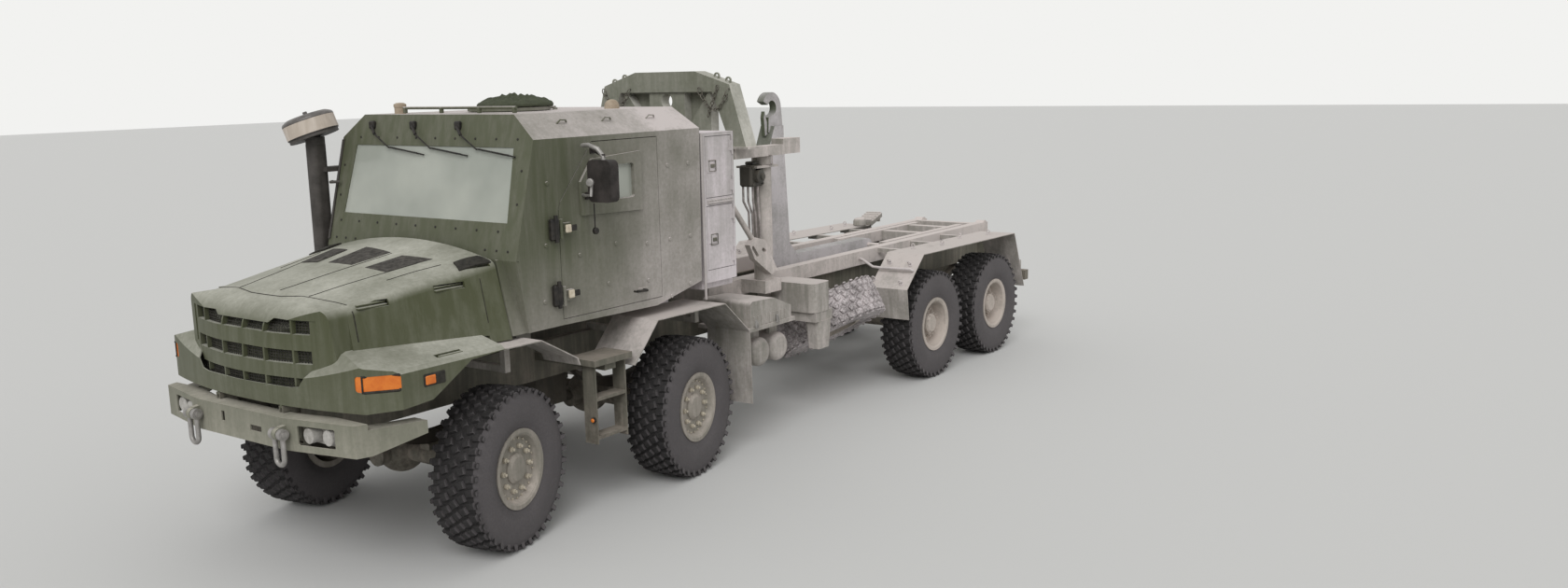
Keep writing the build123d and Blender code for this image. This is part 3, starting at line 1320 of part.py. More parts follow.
for name, low, high in LOCKER_DOORS:
    with BuildPart() as locker_door:
        with Locations((LOCKER_MID_X, CAB_HALF_WIDTH - LOCKER_DOOR_T / 2, (low + high) / 2)):
            Box(LOCKER_LENGTH - 2 * LOCKER_FRAME - 10, LOCKER_DOOR_T, high - low - 10)
        # latch plate near the front edge and hinge barrels at the rear one
        with Locations((AXLE_1 + LOCKER_FRONT - 90, CAB_HALF_WIDTH + 3, (low + high) / 2)):
            Box(90, 6, 90)
        for z in (low + 90, high - 90):
            with Locations((LOCKER_HINGE_X, LOCKER_HINGE_Y, z)):
                Cylinder(7, 90)
            with Locations((LOCKER_HINGE_X + 18, CAB_HALF_WIDTH + 3.5, z)):
                Box(40, 5, 90)
            with Locations((LOCKER_HINGE_X + 26, CAB_HALF_WIDTH, z)):
                Box(24, 6, 90)
    locker_door.part.label = name
    export_step(locker_door.part, f"parts/{name}.step")

# Side boxes: battery box with ribbed lid, air tanks, corner box and canister on the left;
# fuel tank and hydraulic oil tank on the right
TANK_R = 134
TANK_DOME = 60
TANK_Z = 836
# air tanks: distance from the first axle
TANKS = [-3185, -3469]
BATTERY_LID = [(-2927, 1345), (-3290, 1330), (-3551, 1225), (-3551, 1108), (-2927, 1108)]
BATTERY_FLANGE = (-2864, -3599, 1072, 1108)
BATTERY_RIBS = 9
CORNER_BOX = (-3950, -4250, 1070, 1350)
with BuildPart() as side_boxes:
    # battery tray and its ribbed lid, whose top falls off to the rear
    front, rear, low, high = BATTERY_FLANGE
    with Locations((AXLE_1 + (front + rear) / 2, 880, (low + high) / 2)):
        Box(front - rear, 560, high - low)
    with BuildSketch(Plane.XZ.offset(-1150)):
        with BuildLine():
            Polyline(*[(AXLE_1 + x, z) for x, z in BATTERY_LID], close=True)
        make_face()
        fillet(vertices().group_by(Axis.Y)[-1], 40)
    extrude(amount=540)
    lid_front, lid_low = BATTERY_LID[-1]
    for index in range(BATTERY_RIBS):
        with Locations((AXLE_1 + lid_front - 50 - index * 60, 1150, (lid_low + 1215) / 2)):
            Box(22, 12, 1205 - lid_low - 10)
    with Locations((AXLE_1 - 3230, RAIL_OUT_Y + 90, 1090)):
        Box(300, 180, 60)
    # air tanks with domed ends, hung by straps from the tray
    for x in TANKS:
        with BuildSketch(Plane.XZ.offset(-1090)):
            with Locations((AXLE_1 + x, TANK_Z)):
                Circle(TANK_R)
        extrude(amount=490)
        fillet(edges(Select.LAST).filter_by(GeomType.CIRCLE), TANK_DOME)
        for y in (700, 980):
            with Locations((AXLE_1 + x, y, (TANK_Z + TANK_R + low) / 2)):
                Box(120, 40, low - TANK_Z - TANK_R + 20)
    # rounded corner box and the tapered canister on its bracket
    front, rear, low, high = CORNER_BOX
    with BuildSketch(Plane.XY.offset(low)):
        with Locations((AXLE_1 + (front + rear) / 2, 870)):
            RectangleRounded(front - rear, 540, 70)
    extrude(amount=high - low)
    with Locations((AXLE_1 + (front + rear) / 2, RAIL_OUT_Y + 90, 1150)):
        Box(200, 180, 120)
    with Locations((AXLE_1 - 4130, 980, 1025)):
        Box(290, 300, 100)
    with BuildSketch(Plane.XY.offset(980)):
        with Locations((AXLE_1 - 4150, 1050)):
            RectangleRounded(240, 180, 50)
    extrude(amount=-280, taper=5)
side_boxes.part.label = "side_boxes"
export_step(side_boxes.part, "parts/side_boxes.step")

with BuildPart() as right_tanks:
    with BuildSketch(Plane.YZ.offset(AXLE_1 - 4200)):
        with Locations((-860, 960)):
            RectangleRounded(580, 560, 90)
    extrude(amount=1300)
    with Locations((AXLE_1 - 3550, -500, 1100)):
        Box(900, 140, 60)
    with Locations((LOCKER_MID_X, -(LOCKER_IN_Y + CAB_HALF_WIDTH) / 2, (LOCKER_LOW + 2500) / 2)):
        Box(LOCKER_LENGTH, CAB_HALF_WIDTH - LOCKER_IN_Y, 2500 - LOCKER_LOW)
    with Locations((LOCKER_MID_X, -700, LOCKER_LOW - 30)):
        Box(LOCKER_LENGTH, 680, 60)
    with Locations((LOCKER_MID_X, -385, (RAIL_TOP + LOCKER_LOW) / 2)):
        Box(120, 70, LOCKER_LOW - RAIL_TOP)
right_tanks.part.label = "right_tanks"
export_step(right_tanks.part, "parts/right_tanks.step")

# Spare wheel: carried at a slant under the left rail
with BuildPart() as spare_tyre:
    with Locations(spare_plane.location):
        add(tyre_form.part)
spare_tyre.part.label = "spare_tyre"
export_step(spare_tyre.part, "parts/spare_tyre.step")

with BuildPart() as spare_rim:
    with Locations(spare_plane.location):
        add(rear_rim_form)
spare_rim.part.label = "spare_rim"
export_step(spare_rim.part, "parts/spare_rim.step")

# Loader subframe: two box beams on the rails with cross tubes, cylinder feet and rear pivots
SUBFRAME_FRONT = AXLE_1 - 3150
BEAM_FRONT = SUBFRAME_FRONT - 250
SEAT_Z = BEAM_TOP - 10
TILT_PIVOT = (AXLE_1 - 8500, 1330)
CYLINDER_FOOT = (AXLE_1 - 4350, 1150)
CYLINDER_Y = 185
PIVOT_PIN_R = 30
FRAME_BEAM_IN = 265
FRAME_BEAM_OUT = 355
KNEE = (AXLE_1 - 6650, 1345)
with BuildPart() as lift_subframe:
    for side in (1, -1):
        with Locations((
            (BEAM_FRONT + RAIL_REAR) / 2, side * (BEAM_IN + BEAM_OUT) / 2, (RAIL_TOP + BEAM_TOP) / 2
        )):
            Box(BEAM_FRONT - RAIL_REAR, BEAM_OUT - BEAM_IN, BEAM_TOP - RAIL_TOP)
        # roller at the rear end
        with Locations((RAIL_REAR + 70, side * (BEAM_IN + BEAM_OUT) / 2, BEAM_TOP - 35)):
            Cylinder(60, 110, rotation=(90, 0, 0))
    # front cross beam, which carries the container frame, a little under the deck
    with Locations(((SUBFRAME_FRONT + BEAM_FRONT) / 2, 0, (RAIL_TOP + SEAT_Z) / 2)):
        Box(SUBFRAME_FRONT - BEAM_FRONT, 2 * BEAM_OUT, SEAT_Z - RAIL_TOP)
    with Locations((TILT_PIVOT[0] - 180, 0, (RAIL_TOP + BEAM_TOP) / 2)):
        Box(100, 2 * BEAM_OUT - 20, BEAM_TOP - RAIL_TOP)
    # tilt pins across the rear, seated in the beams
    with Locations((TILT_PIVOT[0], 0, TILT_PIVOT[1])):
        Cylinder(PIVOT_PIN_R, 2 * BEAM_OUT - 40, rotation=(90, 0, 0))
    # foot pin of the cylinders, held by plates from the beams
    with Locations((CYLINDER_FOOT[0], 0, CYLINDER_FOOT[1])):
        Cylinder(PIVOT_PIN_R, 2 * 300, rotation=(90, 0, 0))
    for side in (1, -1):
        with Locations((CYLINDER_FOOT[0], side * 300, 1250)):
            Box(140, 30, 290)
        with Locations((CYLINDER_FOOT[0], side * 345, 1330)):
            Box(140, 90, 100)
lift_subframe.part.label = "lift_subframe"
export_step(lift_subframe.part, "parts/lift_subframe.step")

# Lift frame: the tilting inner frame, from the rear pins to the hook arm's knee
EYE_PIN = (AXLE_1 - 6870, 1278)
LUG_THICKNESS = 70
EYE_PIN_R = 25
EYE_GAP = 2
LIFT_END_R = 54
with BuildPart() as lift_frame:
    for side in (1, -1):
        with BuildSketch(Plane.XZ.offset(-side * FRAME_BEAM_IN)):
            with Locations(((TILT_PIVOT[0] + KNEE[0]) / 2 + 30, TILT_PIVOT[1] + 8)):
                Rectangle(KNEE[0] - TILT_PIVOT[0] + 60, 124)
            with Locations(TILT_PIVOT):
                Circle(LIFT_END_R)
                Circle(PIVOT_PIN_R + RUNNING_FIT, mode=Mode.SUBTRACT)
        extrude(amount=-side * (FRAME_BEAM_OUT - FRAME_BEAM_IN))
    for x in (TILT_PIVOT[0] + 260, TILT_PIVOT[0] + 900):
        with Locations((x, 0, TILT_PIVOT[1] + 8)):
            Box(110, 2 * FRAME_BEAM_IN, 110)
        # lug of the rods' pin under each beam
        with Locations((EYE_PIN[0], side * (FRAME_BEAM_IN + LUG_THICKNESS / 2), EYE_PIN[1])):
            Box(120, LUG_THICKNESS, 90)
    # knee pin, fixed in the beams
    with Locations((KNEE[0], 0, KNEE[1])):
        Cylinder(PIVOT_PIN_R, 2 * FRAME_BEAM_OUT - 20, rotation=(90, 0, 0))
lift_frame.part.label = "lift_frame"
export_step(lift_frame.part, "parts/lift_frame.step")

# Hook arm: boom, upright and the hook that opens forwards
ARM_HALF = 88
HOOK_HALF = 42
HOOK_CENTRE = (AXLE_1 - 4855, 2985)
HOOK_R = 160
THROAT_R = 75
LIP_ANGLE = 25
LATCH_HALF = 22
BOOM_LOW = 1275
BOOM_HIGH = 1425
with BuildPart() as hook_arm:
    with BuildSketch(Plane.XZ.offset(-ARM_HALF)):
        with BuildLine():
            Polyline(
                (AXLE_1 - 4990, 2800),
                (AXLE_1 - 4830, 2800),
                (AXLE_1 - 4738, 2600),
                (AXLE_1 - 4738, 1500),
                (AXLE_1 - 4800, BOOM_LOW),
                (KNEE[0], BOOM_LOW),
                (KNEE[0], BOOM_HIGH),
                (AXLE_1 - 5190, BOOM_HIGH),
                (AXLE_1 - 5062, 1560),
                (AXLE_1 - 4990, 2640),
                close=True,
            )
        make_face()
        with Locations(KNEE):
            Circle((BOOM_HIGH - BOOM_LOW) / 2)
            Circle(PIVOT_PIN_R + RUNNING_FIT, mode=Mode.SUBTRACT)
    extrude(amount=2 * ARM_HALF)
    with BuildSketch(Plane.XZ.offset(-HOOK_HALF)):
        cx, cz = HOOK_CENTRE
        with BuildLine():
            ThreePointArc((cx + 145, cz + 68), (cx, cz + HOOK_R), (cx - HOOK_R, cz))
            Polyline(
                (cx - HOOK_R, cz),
                (cx - 190, cz - 250),
                (cx + 70, cz - 250),
                (cx + 60, cz - 95),
                (cx, cz - THROAT_R),
            )
            lip_y = THROAT_R * sin(radians(LIP_ANGLE))
            lip_x = THROAT_R * cos(radians(LIP_ANGLE))
            ThreePointArc((cx, cz - THROAT_R), (cx - THROAT_R, cz), (cx + lip_x, cz + lip_y))
            Line((cx + lip_x, cz + lip_y), (cx + 145, cz + 68))
        make_face()
    extrude(amount=2 * HOOK_HALF)
    # safety latch that stands up before the throat
    with BuildSketch(Plane.XZ.offset(-LATCH_HALF)):
        with BuildLine():
            Polyline(
                (cx + 20, 2740),
                (cx + 100, 2700),
                (cx + 118, 2890),
                (cx + 100, 2952),
                (cx + 86, 2890),
                close=True,
            )
        make_face()
    extrude(amount=2 * LATCH_HALF)
hook_arm.part.label = "hook_arm"
export_step(hook_arm.part, "parts/hook_arm.step")

# Lift cylinders: two barrels on the foot pin, two rods whose eyes sit on the lift frame's pin
foot = Vector(CYLINDER_FOOT[0], 0, CYLINDER_FOOT[1])
eye = Vector(EYE_PIN[0], 0, EYE_PIN[1])
stroke_dir = (eye - foot).normalized()
BARREL_R = 62
ROD_R = 35
BARREL_LENGTH = 1700
ROD_FIT = 0.1
with BuildPart() as cylinder_barrels:
    for side in (1, -1):
        base = foot + Vector(0, side * CYLINDER_Y, 0)
        with BuildSketch(Plane(origin=base + stroke_dir * 48, z_dir=stroke_dir)):
            Circle(BARREL_R)
        extrude(amount=BARREL_LENGTH + 22)
        with Locations(base):
            Cylinder(60, 90, rotation=(90, 0, 0))
        with BuildSketch(Plane(origin=base + stroke_dir * 200, z_dir=stroke_dir)):
            Circle(ROD_R + ROD_FIT)
        extrude(amount=BARREL_LENGTH, mode=Mode.SUBTRACT)
        with Locations(base):
            Cylinder(PIVOT_PIN_R + RUNNING_FIT, 200, rotation=(90, 0, 0), mode=Mode.SUBTRACT)
cylinder_barrels.part.label = "cylinder_barrels"
export_step(cylinder_barrels.part, "parts/cylinder_barrels.step")

with BuildPart() as cylinder_rods:
    for side in (1, -1):
        tip = eye + Vector(0, side * CYLINDER_Y, 0)
        with BuildSketch(Plane(origin=tip - stroke_dir * 2100, z_dir=stroke_dir)):
            Circle(ROD_R)
        extrude(amount=2100)
        with Locations(tip):
            Cylinder(52, 80, rotation=(90, 0, 0))
    # the pin that both eyes hold ends short of the lift frame's lugs
    with Locations(eye):
        Cylinder(EYE_PIN_R, 2 * (FRAME_BEAM_IN - EYE_GAP), rotation=(90, 0, 0))
cylinder_rods.part.label = "cylinder_rods"
export_step(cylinder_rods.part, "parts/cylinder_rods.step")

# Container handling frame: an arched top beam on slanted legs, and a panel with deep pockets in it
ARCH_X = AXLE_1 - 3380
ARCH_DEPTH = 160
ARCH_TOP = 3368
ARCH_PROFILE = [(360, ARCH_TOP), (757, 3245), (930, 2690), (762, 2690), (556, 3182)]
ARCH_LEG_Y = 400
PANEL_HALF = 522
PANEL_LOW = 2500
PANEL_DEPTH = 110
PANEL_BACK = 14
PANEL_HOLE = (0, 3100, 66)
POCKET = [(214, 3172), (490, 3172), (214, 2800)]
EYE_R = 32
# eyes: y, z on the arch's sloping top
EYES = [(560, 3322), (690, 3282)]
with BuildPart() as container_frame:
    with BuildSketch(Plane.YZ.offset(ARCH_X)):
        with BuildLine():
            Polyline(*ARCH_PROFILE, *[(-y, z) for y, z in reversed(ARCH_PROFILE)], close=True)
        make_face()
    extrude(amount=ARCH_DEPTH)
    with BuildSketch(Plane.YZ.offset(ARCH_X + 25)):
        with BuildLine():
            low_in = PANEL_HALF - 90
            Polyline((PANEL_HALF, 2780), (PANEL_HALF, 3220), (-PANEL_HALF, 3220), (-PANEL_HALF, 2780))
            ThreePointArc((-PANEL_HALF, 2780), (-PANEL_HALF + 22, 2630), (-low_in, PANEL_LOW))
            Line((-low_in, PANEL_LOW), (low_in, PANEL_LOW))
            ThreePointArc((low_in, PANEL_LOW), (PANEL_HALF - 22, 2630), (PANEL_HALF, 2780))
        make_face()
        with Locations(PANEL_HOLE[:2]):
            Circle(PANEL_HOLE[2], mode=Mode.SUBTRACT)
    extrude(amount=PANEL_DEPTH)
    # pockets between the ribs, closed by the back plate
    with BuildSketch(Plane.YZ.offset(ARCH_X + 25 + PANEL_BACK)):
        for side in (1, -1):
            with BuildLine():
                Polyline(*[(side * y, z) for y, z in POCKET], close=True)
            make_face()
    extrude(amount=ARCH_DEPTH, mode=Mode.SUBTRACT)
    # eyes along the top edge for the chains
    for side in (1, -1):
        for y, z in EYES:
            with BuildSketch(Plane.YZ.offset(ARCH_X + ARCH_DEPTH / 2 - 8)):
                with Locations((side * y, z)):
                    Circle(EYE_R)
                    Circle(EYE_R - 14, mode=Mode.SUBTRACT)
            extrude(amount=16)
    for side in (1, -1):
        with Locations((ARCH_X + 60, side * ARCH_LEG_Y, (SEAT_Z + 2560) / 2)):
            Box(100, 60, 2560 - SEAT_Z)
    with Locations((ARCH_X + 60, 0, 2000)):
        Box(80, 2 * ARCH_LEG_Y, 100)
container_frame.part.label = "container_frame"
export_step(container_frame.part, "parts/container_frame.step")

# Frame posts: a round post a side with the long arm on top that carries the frame's leg
POST_X = AXLE_1 - 3780
POST_Y = 680
POST_R = 92
ARM_LOW = 2575
ARM_HIGH = 2670
ARM_REAR = AXLE_1 - 3977
ARM_END = AXLE_1 - 4256
FLANGE_Z = 2470
SLOT_PLATE = [(-3381, 1777), (-3463, 1842), (-3626, 1800), (-3809, 1494), (-3716, 1457), (-3455, 1636)]
# slots of the plate: x, z, length, angle
PLATE_SLOTS = [(-3467, 1706, 140, 52), (-3604, 1704, 70, 35)]
STRUT = ((-3180, 760, 2190), (-3480, 790, 1800))
with BuildPart() as frame_posts:
    for side in (1, -1):
        with Locations((POST_X, side * POST_Y, (BEAM_TOP + ARM_LOW) / 2)):
            Cylinder(POST_R, ARM_LOW - BEAM_TOP)
        with Locations((POST_X + 60, side * POST_Y, FLANGE_Z + 10)):
            Box(340, 240, 20)
        with BuildSketch(Plane.XZ.offset(-side * (POST_Y + 60))):
            with Locations((POST_X + 175, FLANGE_Z - 46)):
                Circle(50)
                Circle(20, mode=Mode.SUBTRACT)
        extrude(amount=-side * 30)
        with Locations(((ARCH_X + ARCH_DEPTH + ARM_REAR) / 2, side * 735, (ARM_LOW + ARM_HIGH) / 2)):
            Box(ARCH_X + ARCH_DEPTH - ARM_REAR, 130, ARM_HIGH - ARM_LOW)
        with Locations(((ARM_REAR + ARM_END) / 2, side * 730, 2650)):
            Box(ARM_REAR - ARM_END, 140, 146)
        # foot plate of the leg on the arm
        with Locations((ARCH_X + ARCH_DEPTH / 2, side * 820, ARM_HIGH + 10)):
            Box(ARCH_DEPTH + 60, 300, 20)
        # outrigger from the subframe under the post
        with Locations((POST_X, side * (BEAM_OUT + POST_Y + 110) / 2, BEAM_TOP - 60)):
            Box(260, POST_Y + 110 - BEAM_OUT, 120)
        # strut down to the slotted plate
        start, end = STRUT
        add(
            rod_between(
                (AXLE_1 + start[0], side * start[1], start[2]), (AXLE_1 + end[0], side * end[1], end[2]), 26
            )
        )
        with BuildSketch(Plane.XZ.offset(-side * 820)):
            with BuildLine():
                Polyline(*[(AXLE_1 + x, z) for x, z in SLOT_PLATE], close=True)
            make_face()
            for x, z, length, angle in PLATE_SLOTS:
                with Locations((AXLE_1 + x, z)):
                    SlotOverall(length, 34, rotation=angle, mode=Mode.SUBTRACT)
        extrude(amount=side * 60)
frame_posts.part.label = "frame_posts"
export_step(frame_posts.part, "parts/frame_posts.step")
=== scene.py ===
import bpy
from math import cos, pi, radians, sin, sqrt
from mathutils import Matrix, Vector


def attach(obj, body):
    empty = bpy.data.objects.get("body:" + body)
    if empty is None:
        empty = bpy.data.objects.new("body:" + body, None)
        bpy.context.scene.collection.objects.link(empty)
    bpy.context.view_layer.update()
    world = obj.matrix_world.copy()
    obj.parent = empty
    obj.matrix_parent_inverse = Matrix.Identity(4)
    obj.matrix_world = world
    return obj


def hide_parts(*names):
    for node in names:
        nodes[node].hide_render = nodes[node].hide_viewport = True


# Eight-wheeled military cargo truck with a hook loader, dressed over its CAD frame.
# X points forward, Y to the left and Z up, in metres.
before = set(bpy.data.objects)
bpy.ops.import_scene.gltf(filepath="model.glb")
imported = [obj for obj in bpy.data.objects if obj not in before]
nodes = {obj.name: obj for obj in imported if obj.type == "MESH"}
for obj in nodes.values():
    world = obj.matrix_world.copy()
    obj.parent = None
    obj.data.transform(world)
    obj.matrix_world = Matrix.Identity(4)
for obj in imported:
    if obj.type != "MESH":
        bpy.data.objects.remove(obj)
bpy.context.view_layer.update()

# Frame, axle beams and cab steps: rolled and cast steel, bolted up and sprayed as one.
# A dull green-grey chassis paint shows, with road dust on every upward face, and splash and
# dried mud on the low parts.


def linear(hex_colour):
    """An sRGB hex colour as linear red, green, blue and alpha."""
    parts = [int(hex_colour[i : i + 2], 16) / 255 for i in (0, 2, 4)]
    return [c / 12.92 if c <= 0.04045 else ((c + 0.055) / 1.055) ** 2.4 for c in parts] + [1]


def add_node(tree, kind, inputs=None, **settings):
    """Adds a node, with values or links for its inputs, and gives its outputs."""
    made = tree.nodes.new("ShaderNode" + kind)
    for name, value in settings.items():
        setattr(made, name, value)
    for name, value in (inputs or {}).items():
        socket = made.inputs[name]
        if isinstance(value, bpy.types.NodeSocket):
            tree.links.new(value, socket)
        else:
            socket.default_value = value
    return made.outputs


def new_material(name):
    """An empty node material with its tree, its shader and the object coordinates."""
    material = bpy.data.materials.new(name)
    material.use_nodes = True
    tree = material.node_tree
    shader = tree.nodes["Principled BSDF"]
    place = add_node(tree, "TexCoord")["Object"]
    return material, tree, shader, place


def mix_colours(tree, factor, first, second):
    """A colour between two others."""
    inputs = {0: factor, 6: first, 7: second}
    return add_node(tree, "Mix", inputs, data_type="RGBA", clamp_factor=True)[2]


def sprayed_paint(name, paint, dust, settled, height, streaks, gloss=0.62, mud=0.0, rear=None, aside=0.0):
    """Matt sprayed paint that carries dust.

    settled is the dust on upward faces, height = (z of full dust, z of none, amount) on the
    sides, streaks the share of run-off marks, mud the share of dark splash low down,
    rear = (x of full dust, x of none, amount) more dust towards the rear, and aside the share of
    painted light: the dust colour laid on faces turned to the left or right, to paint them paler."""
    material, tree, shader, place = new_material(name)
    stretched = add_node(tree, "Mapping", {"Vector": place, "Scale": (9.0, 9.0, 0.8)})
    # patches 600 mm wide, grit drawn 30 mm coarse so that it shows, run-off 70 mm by 800 mm
    broad, fine, runs = (
        add_node(
            tree, "TexNoise", {"Vector": at, "Scale": scale, "Detail": detail, "Roughness": rough}
        )["Fac"]
        for at, scale, detail, rough in (
            (place, 1.7, 5.0, 0.62),
            (place, 34.0, 6.0, 0.7),
            (stretched[0], 1.6, 5.0, 0.65),
        )
    )
    spot = add_node(tree, "SeparateXYZ", {"Vector": place})
    normal = add_node(tree, "NewGeometry")["Normal"]
    facing = add_node(tree, "SeparateXYZ", {"Vector": normal})
    # layers of dust, and of painted light on the side faces: what each goes by, where it starts, where it is
    # full, and its amount
    layers = [(spot["Z"], height[1], height[0], height[2])]
    if rear:
        layers.append((spot["X"], rear[1], rear[0], rear[2]))
    # painted light: faces turned to the left or right get the pale dust colour, so the side faces look lit
    if aside:
        turned = add_node(tree, "Math", {0: facing["Y"]}, operation="ABSOLUTE")[0]
        layers.append((turned, 0.3, 0.9, aside))
    layers += [(facing["Z"], 0.25, 0.95, settled), (runs, 0.42, 0.68, streaks)]
    cover = 0.0
    for reading, start, full, amount in layers:
        limits = {"Value": reading, "From Min": start, "From Max": full, "To Max": amount}
        layer = add_node(tree, "MapRange", limits)[0]
        cover = add_node(tree, "Math", {0: cover, 1: layer}, operation="ADD")[0]
    # the film breaks up in patches and then in grit
    for reading, thin, thick, clamp in ((broad, 0.55, 1.3, False), (fine, 0.8, 1.2, True)):
        limits = {"Value": reading, "From Min": 0.3, "From Max": 0.7, "To Min": thin, "To Max": thick}
        grain = add_node(tree, "MapRange", limits)[0]
        cover = add_node(tree, "Math", {0: cover, 1: grain}, operation="MULTIPLY", use_clamp=clamp)[0]
    faded = [c * 1.18 for c in linear(paint)[:3]] + [1]
    shade = mix_colours(tree, grain, linear(paint), faded)
    colour = mix_colours(tree, cover, shade, linear(dust))
    if mud:
        # splash in spots of about 140 mm, up to the height of the wheels
        splash = add_node(
            tree, "TexNoise", {"Vector": place, "Scale": 7.0, "Detail": 8.0, "Roughness": 0.75}
        )
        wet = add_node(
            tree, "MapRange", {"Value": spot["Z"], "From Min": 1.25, "From Max": 0.5, "To Max": mud}
        )
        spots = add_node(tree, "MapRange", {"Value": splash["Fac"], "From Min": 0.45, "From Max": 0.6})
        both = add_node(tree, "Math", {0: wet[0], 1: spots[0]}, operation="MULTIPLY")
        colour = mix_colours(tree, both[0], colour, linear("3a352d"))
    tree.links.new(colour, shader.inputs["Base Color"])
    dull = add_node(tree, "MapRange", {"Value": cover, "To Min": gloss, "To Max": 0.92})
    tree.links.new(dull[0], shader.inputs["Roughness"])
    bump = add_node(tree, "Bump", {"Height": fine, "Strength": 0.12, "Distance": 0.002})
    tree.links.new(bump[0], shader.inputs["Normal"])
    shader.inputs["Specular IOR Level"].default_value = 0.35
    return material


def dress(material, *names):
    """CAD nodes get their finish; their shapes stay as packed."""
    for name in names:
        nodes[name].data.materials.clear()
        nodes[name].data.materials.append(material)


chassis_paint = sprayed_paint("dusty chassis paint", "4b4c42", "8d857b", 0.75, (0.5, 1.5, 0.5), 0.5, mud=0.6)
dress(chassis_paint, "chassis_frame", "axle_beams", "cab_steps")

# Leaf springs: rolled spring steel in clamped stacks, bolted to the axle beams.
# Damp grime makes them nearly black, with no shine left.
spring_steel = sprayed_paint("grimy spring steel", "33302c", "6a6156", 0.35, (0.5, 1.2, 0.25), 0.3, mud=0.7)
dress(spring_steel, "leaf_springs")

# Engine, gearbox, transfer case, shafts and steering knuckles: machined iron castings.
# Grey primer under oily dirt gives a dark, faintly shiny face with dried splash low down.
cast_iron = sprayed_paint("oily cast iron", "3c3b37", "6b6358", 0.4, (0.4, 1.4, 0.3), 0.4, gloss=0.5, mud=0.5)
dress(cast_iron, "drive_line", "knuckle_1_left", "knuckle_1_right", "knuckle_2_left", "knuckle_2_right")

# Tyres: moulded black rubber with a block tread, five blocks across and a notch between them.
# Each is cured in one mould, so one tyre is modelled and copied to the eight wheels and the
# spare. The rubber is dull black, and grey on the walls with a broken film of dried dust.
TYRE_RADIUS = 0.590
LUG_HEIGHT = 0.024
LUG_ROOT = 0.006  # how deep a block starts in the carcass
SHOULDER_DROP = 0.004
PITCHES = 38
CARCASS_STEPS = 76
# shoulder ribs: half width and depth, height, distance from the axle, place along it, and lean
RIB_HALF = (0.021, 0.009)
RIB_HEIGHT = 0.052
RIB_RADIUS = 0.530
RIB_PLACE = 0.171
RIB_RISE, RIB_LEAN = 0.94, 0.35
# profile from bead to bead: distance from the axle, place along it
TYRE_PROFILE = [
    (0.268, -0.160), (0.296, -0.162), (0.330, -0.183), (0.385, -0.194), (0.440, -0.194), (0.500, -0.186),
    (0.540, -0.179), (0.563, -0.160), (0.567, -0.060), (0.568, 0.0), (0.567, 0.060), (0.563, 0.160),
    (0.540, 0.179), (0.500, 0.186), (0.440, 0.194), (0.385, 0.194), (0.330, 0.183), (0.296, 0.162),
    (0.268, 0.160),
]


def tyre_material(name, rubber, dust, amount, wall_dust):
    """Moulded rubber with a broken film of dried dust, and more of it on the walls."""
    material, tree, shader, place = new_material(name)
    # the film breaks up in patches of 250 mm, and in specks of 17 mm, coarse enough to show
    broad, fine = (
        add_node(
            tree, "TexNoise", {"Vector": place, "Scale": scale, "Detail": detail, "Roughness": rough}
        )["Fac"]
        for scale, detail, rough in ((4.0, 7.0, 0.7), (60.0, 5.0, 0.75))
    )
    film, specks = (
        add_node(
            tree,
            "MapRange",
            {"Value": reading, "From Min": start, "From Max": full, "To Min": thin, "To Max": thick},
        )
        for reading, start, full, thin, thick in (
            (broad, 0.35, 0.65, amount * 0.35, amount),
            (fine, 0.38, 0.66, 0.3, 1.4),
        )
    )
    cover = add_node(tree, "Math", {0: film[0], 1: specks[0]}, operation="MULTIPLY", use_clamp=True)
    normal = add_node(tree, "NewGeometry")["Normal"]
    aside = add_node(tree, "SeparateXYZ", {"Vector": normal})["Y"]
    aside = add_node(tree, "Math", {0: aside}, operation="ABSOLUTE")[0]
    wall = add_node(
        tree, "MapRange", {"Value": aside, "From Min": 0.55, "From Max": 0.95, "To Max": wall_dust}
    )
    cover = add_node(tree, "Math", {0: cover[0], 1: wall[0]}, operation="ADD", use_clamp=True)
    colour = mix_colours(tree, cover[0], linear(rubber), linear(dust))
    tree.links.new(colour, shader.inputs["Base Color"])
    shader.inputs["Roughness"].default_value = 0.8
    bump = add_node(tree, "Bump", {"Height": fine, "Strength": 0.25, "Distance": 0.003})
    tree.links.new(bump[0], shader.inputs["Normal"])
    return material


def mode(name):
    """Object mode or edit mode."""
    bpy.ops.object.mode_set(mode=name)


def face_outwards():
    """The active piece's doubles are merged and its faces turned outwards."""
    mode("EDIT")
    bpy.ops.mesh.select_all(action="SELECT")
    bpy.ops.mesh.remove_doubles(threshold=0.00002)
    bpy.ops.mesh.normals_make_consistent(inside=False)
    mode("OBJECT")


def select(*pieces):
    """Only these pieces selected and the first one active, out of edit mode."""
    if bpy.context.object and bpy.context.object.mode != "OBJECT":
        mode("OBJECT")
    bpy.ops.object.select_all(action="DESELECT")
    for piece in pieces:
        piece.select_set(True)
    if pieces:
        bpy.context.view_layer.objects.active = pieces[0]


def shape(piece, kind, **settings):
    """A modifier is set and applied to a piece."""
    select(piece)
    modifier = piece.modifiers.new(kind, kind)
    for name, value in settings.items():
        setattr(modifier, name, value)
    bpy.ops.object.modifier_apply(modifier=modifier.name)


def spun(profile, steps):
    """A ring round the Z axis: a point is extruded along the profile and spun a full turn."""
    select()
    bpy.ops.mesh.primitive_plane_add(size=0.01, location=(0, 0, 0))
    ring = bpy.context.object
    mode("EDIT")
    bpy.ops.mesh.merge(type="CENTER")
    bpy.ops.transform.translate(value=(profile[0][0], 0, profile[0][1]))
    for (r0, z0), (r1, z1) in zip(profile, profile[1:]):
        bpy.ops.mesh.extrude_region_move(TRANSFORM_OT_translate={"value": (r1 - r0, 0, z1 - z0)})
    bpy.ops.mesh.select_all(action="SELECT")
    bpy.ops.mesh.spin(steps=steps, angle=2 * pi, center=(0, 0, 0), axis=(0, 0, 1))
    face_outwards()
    return ring


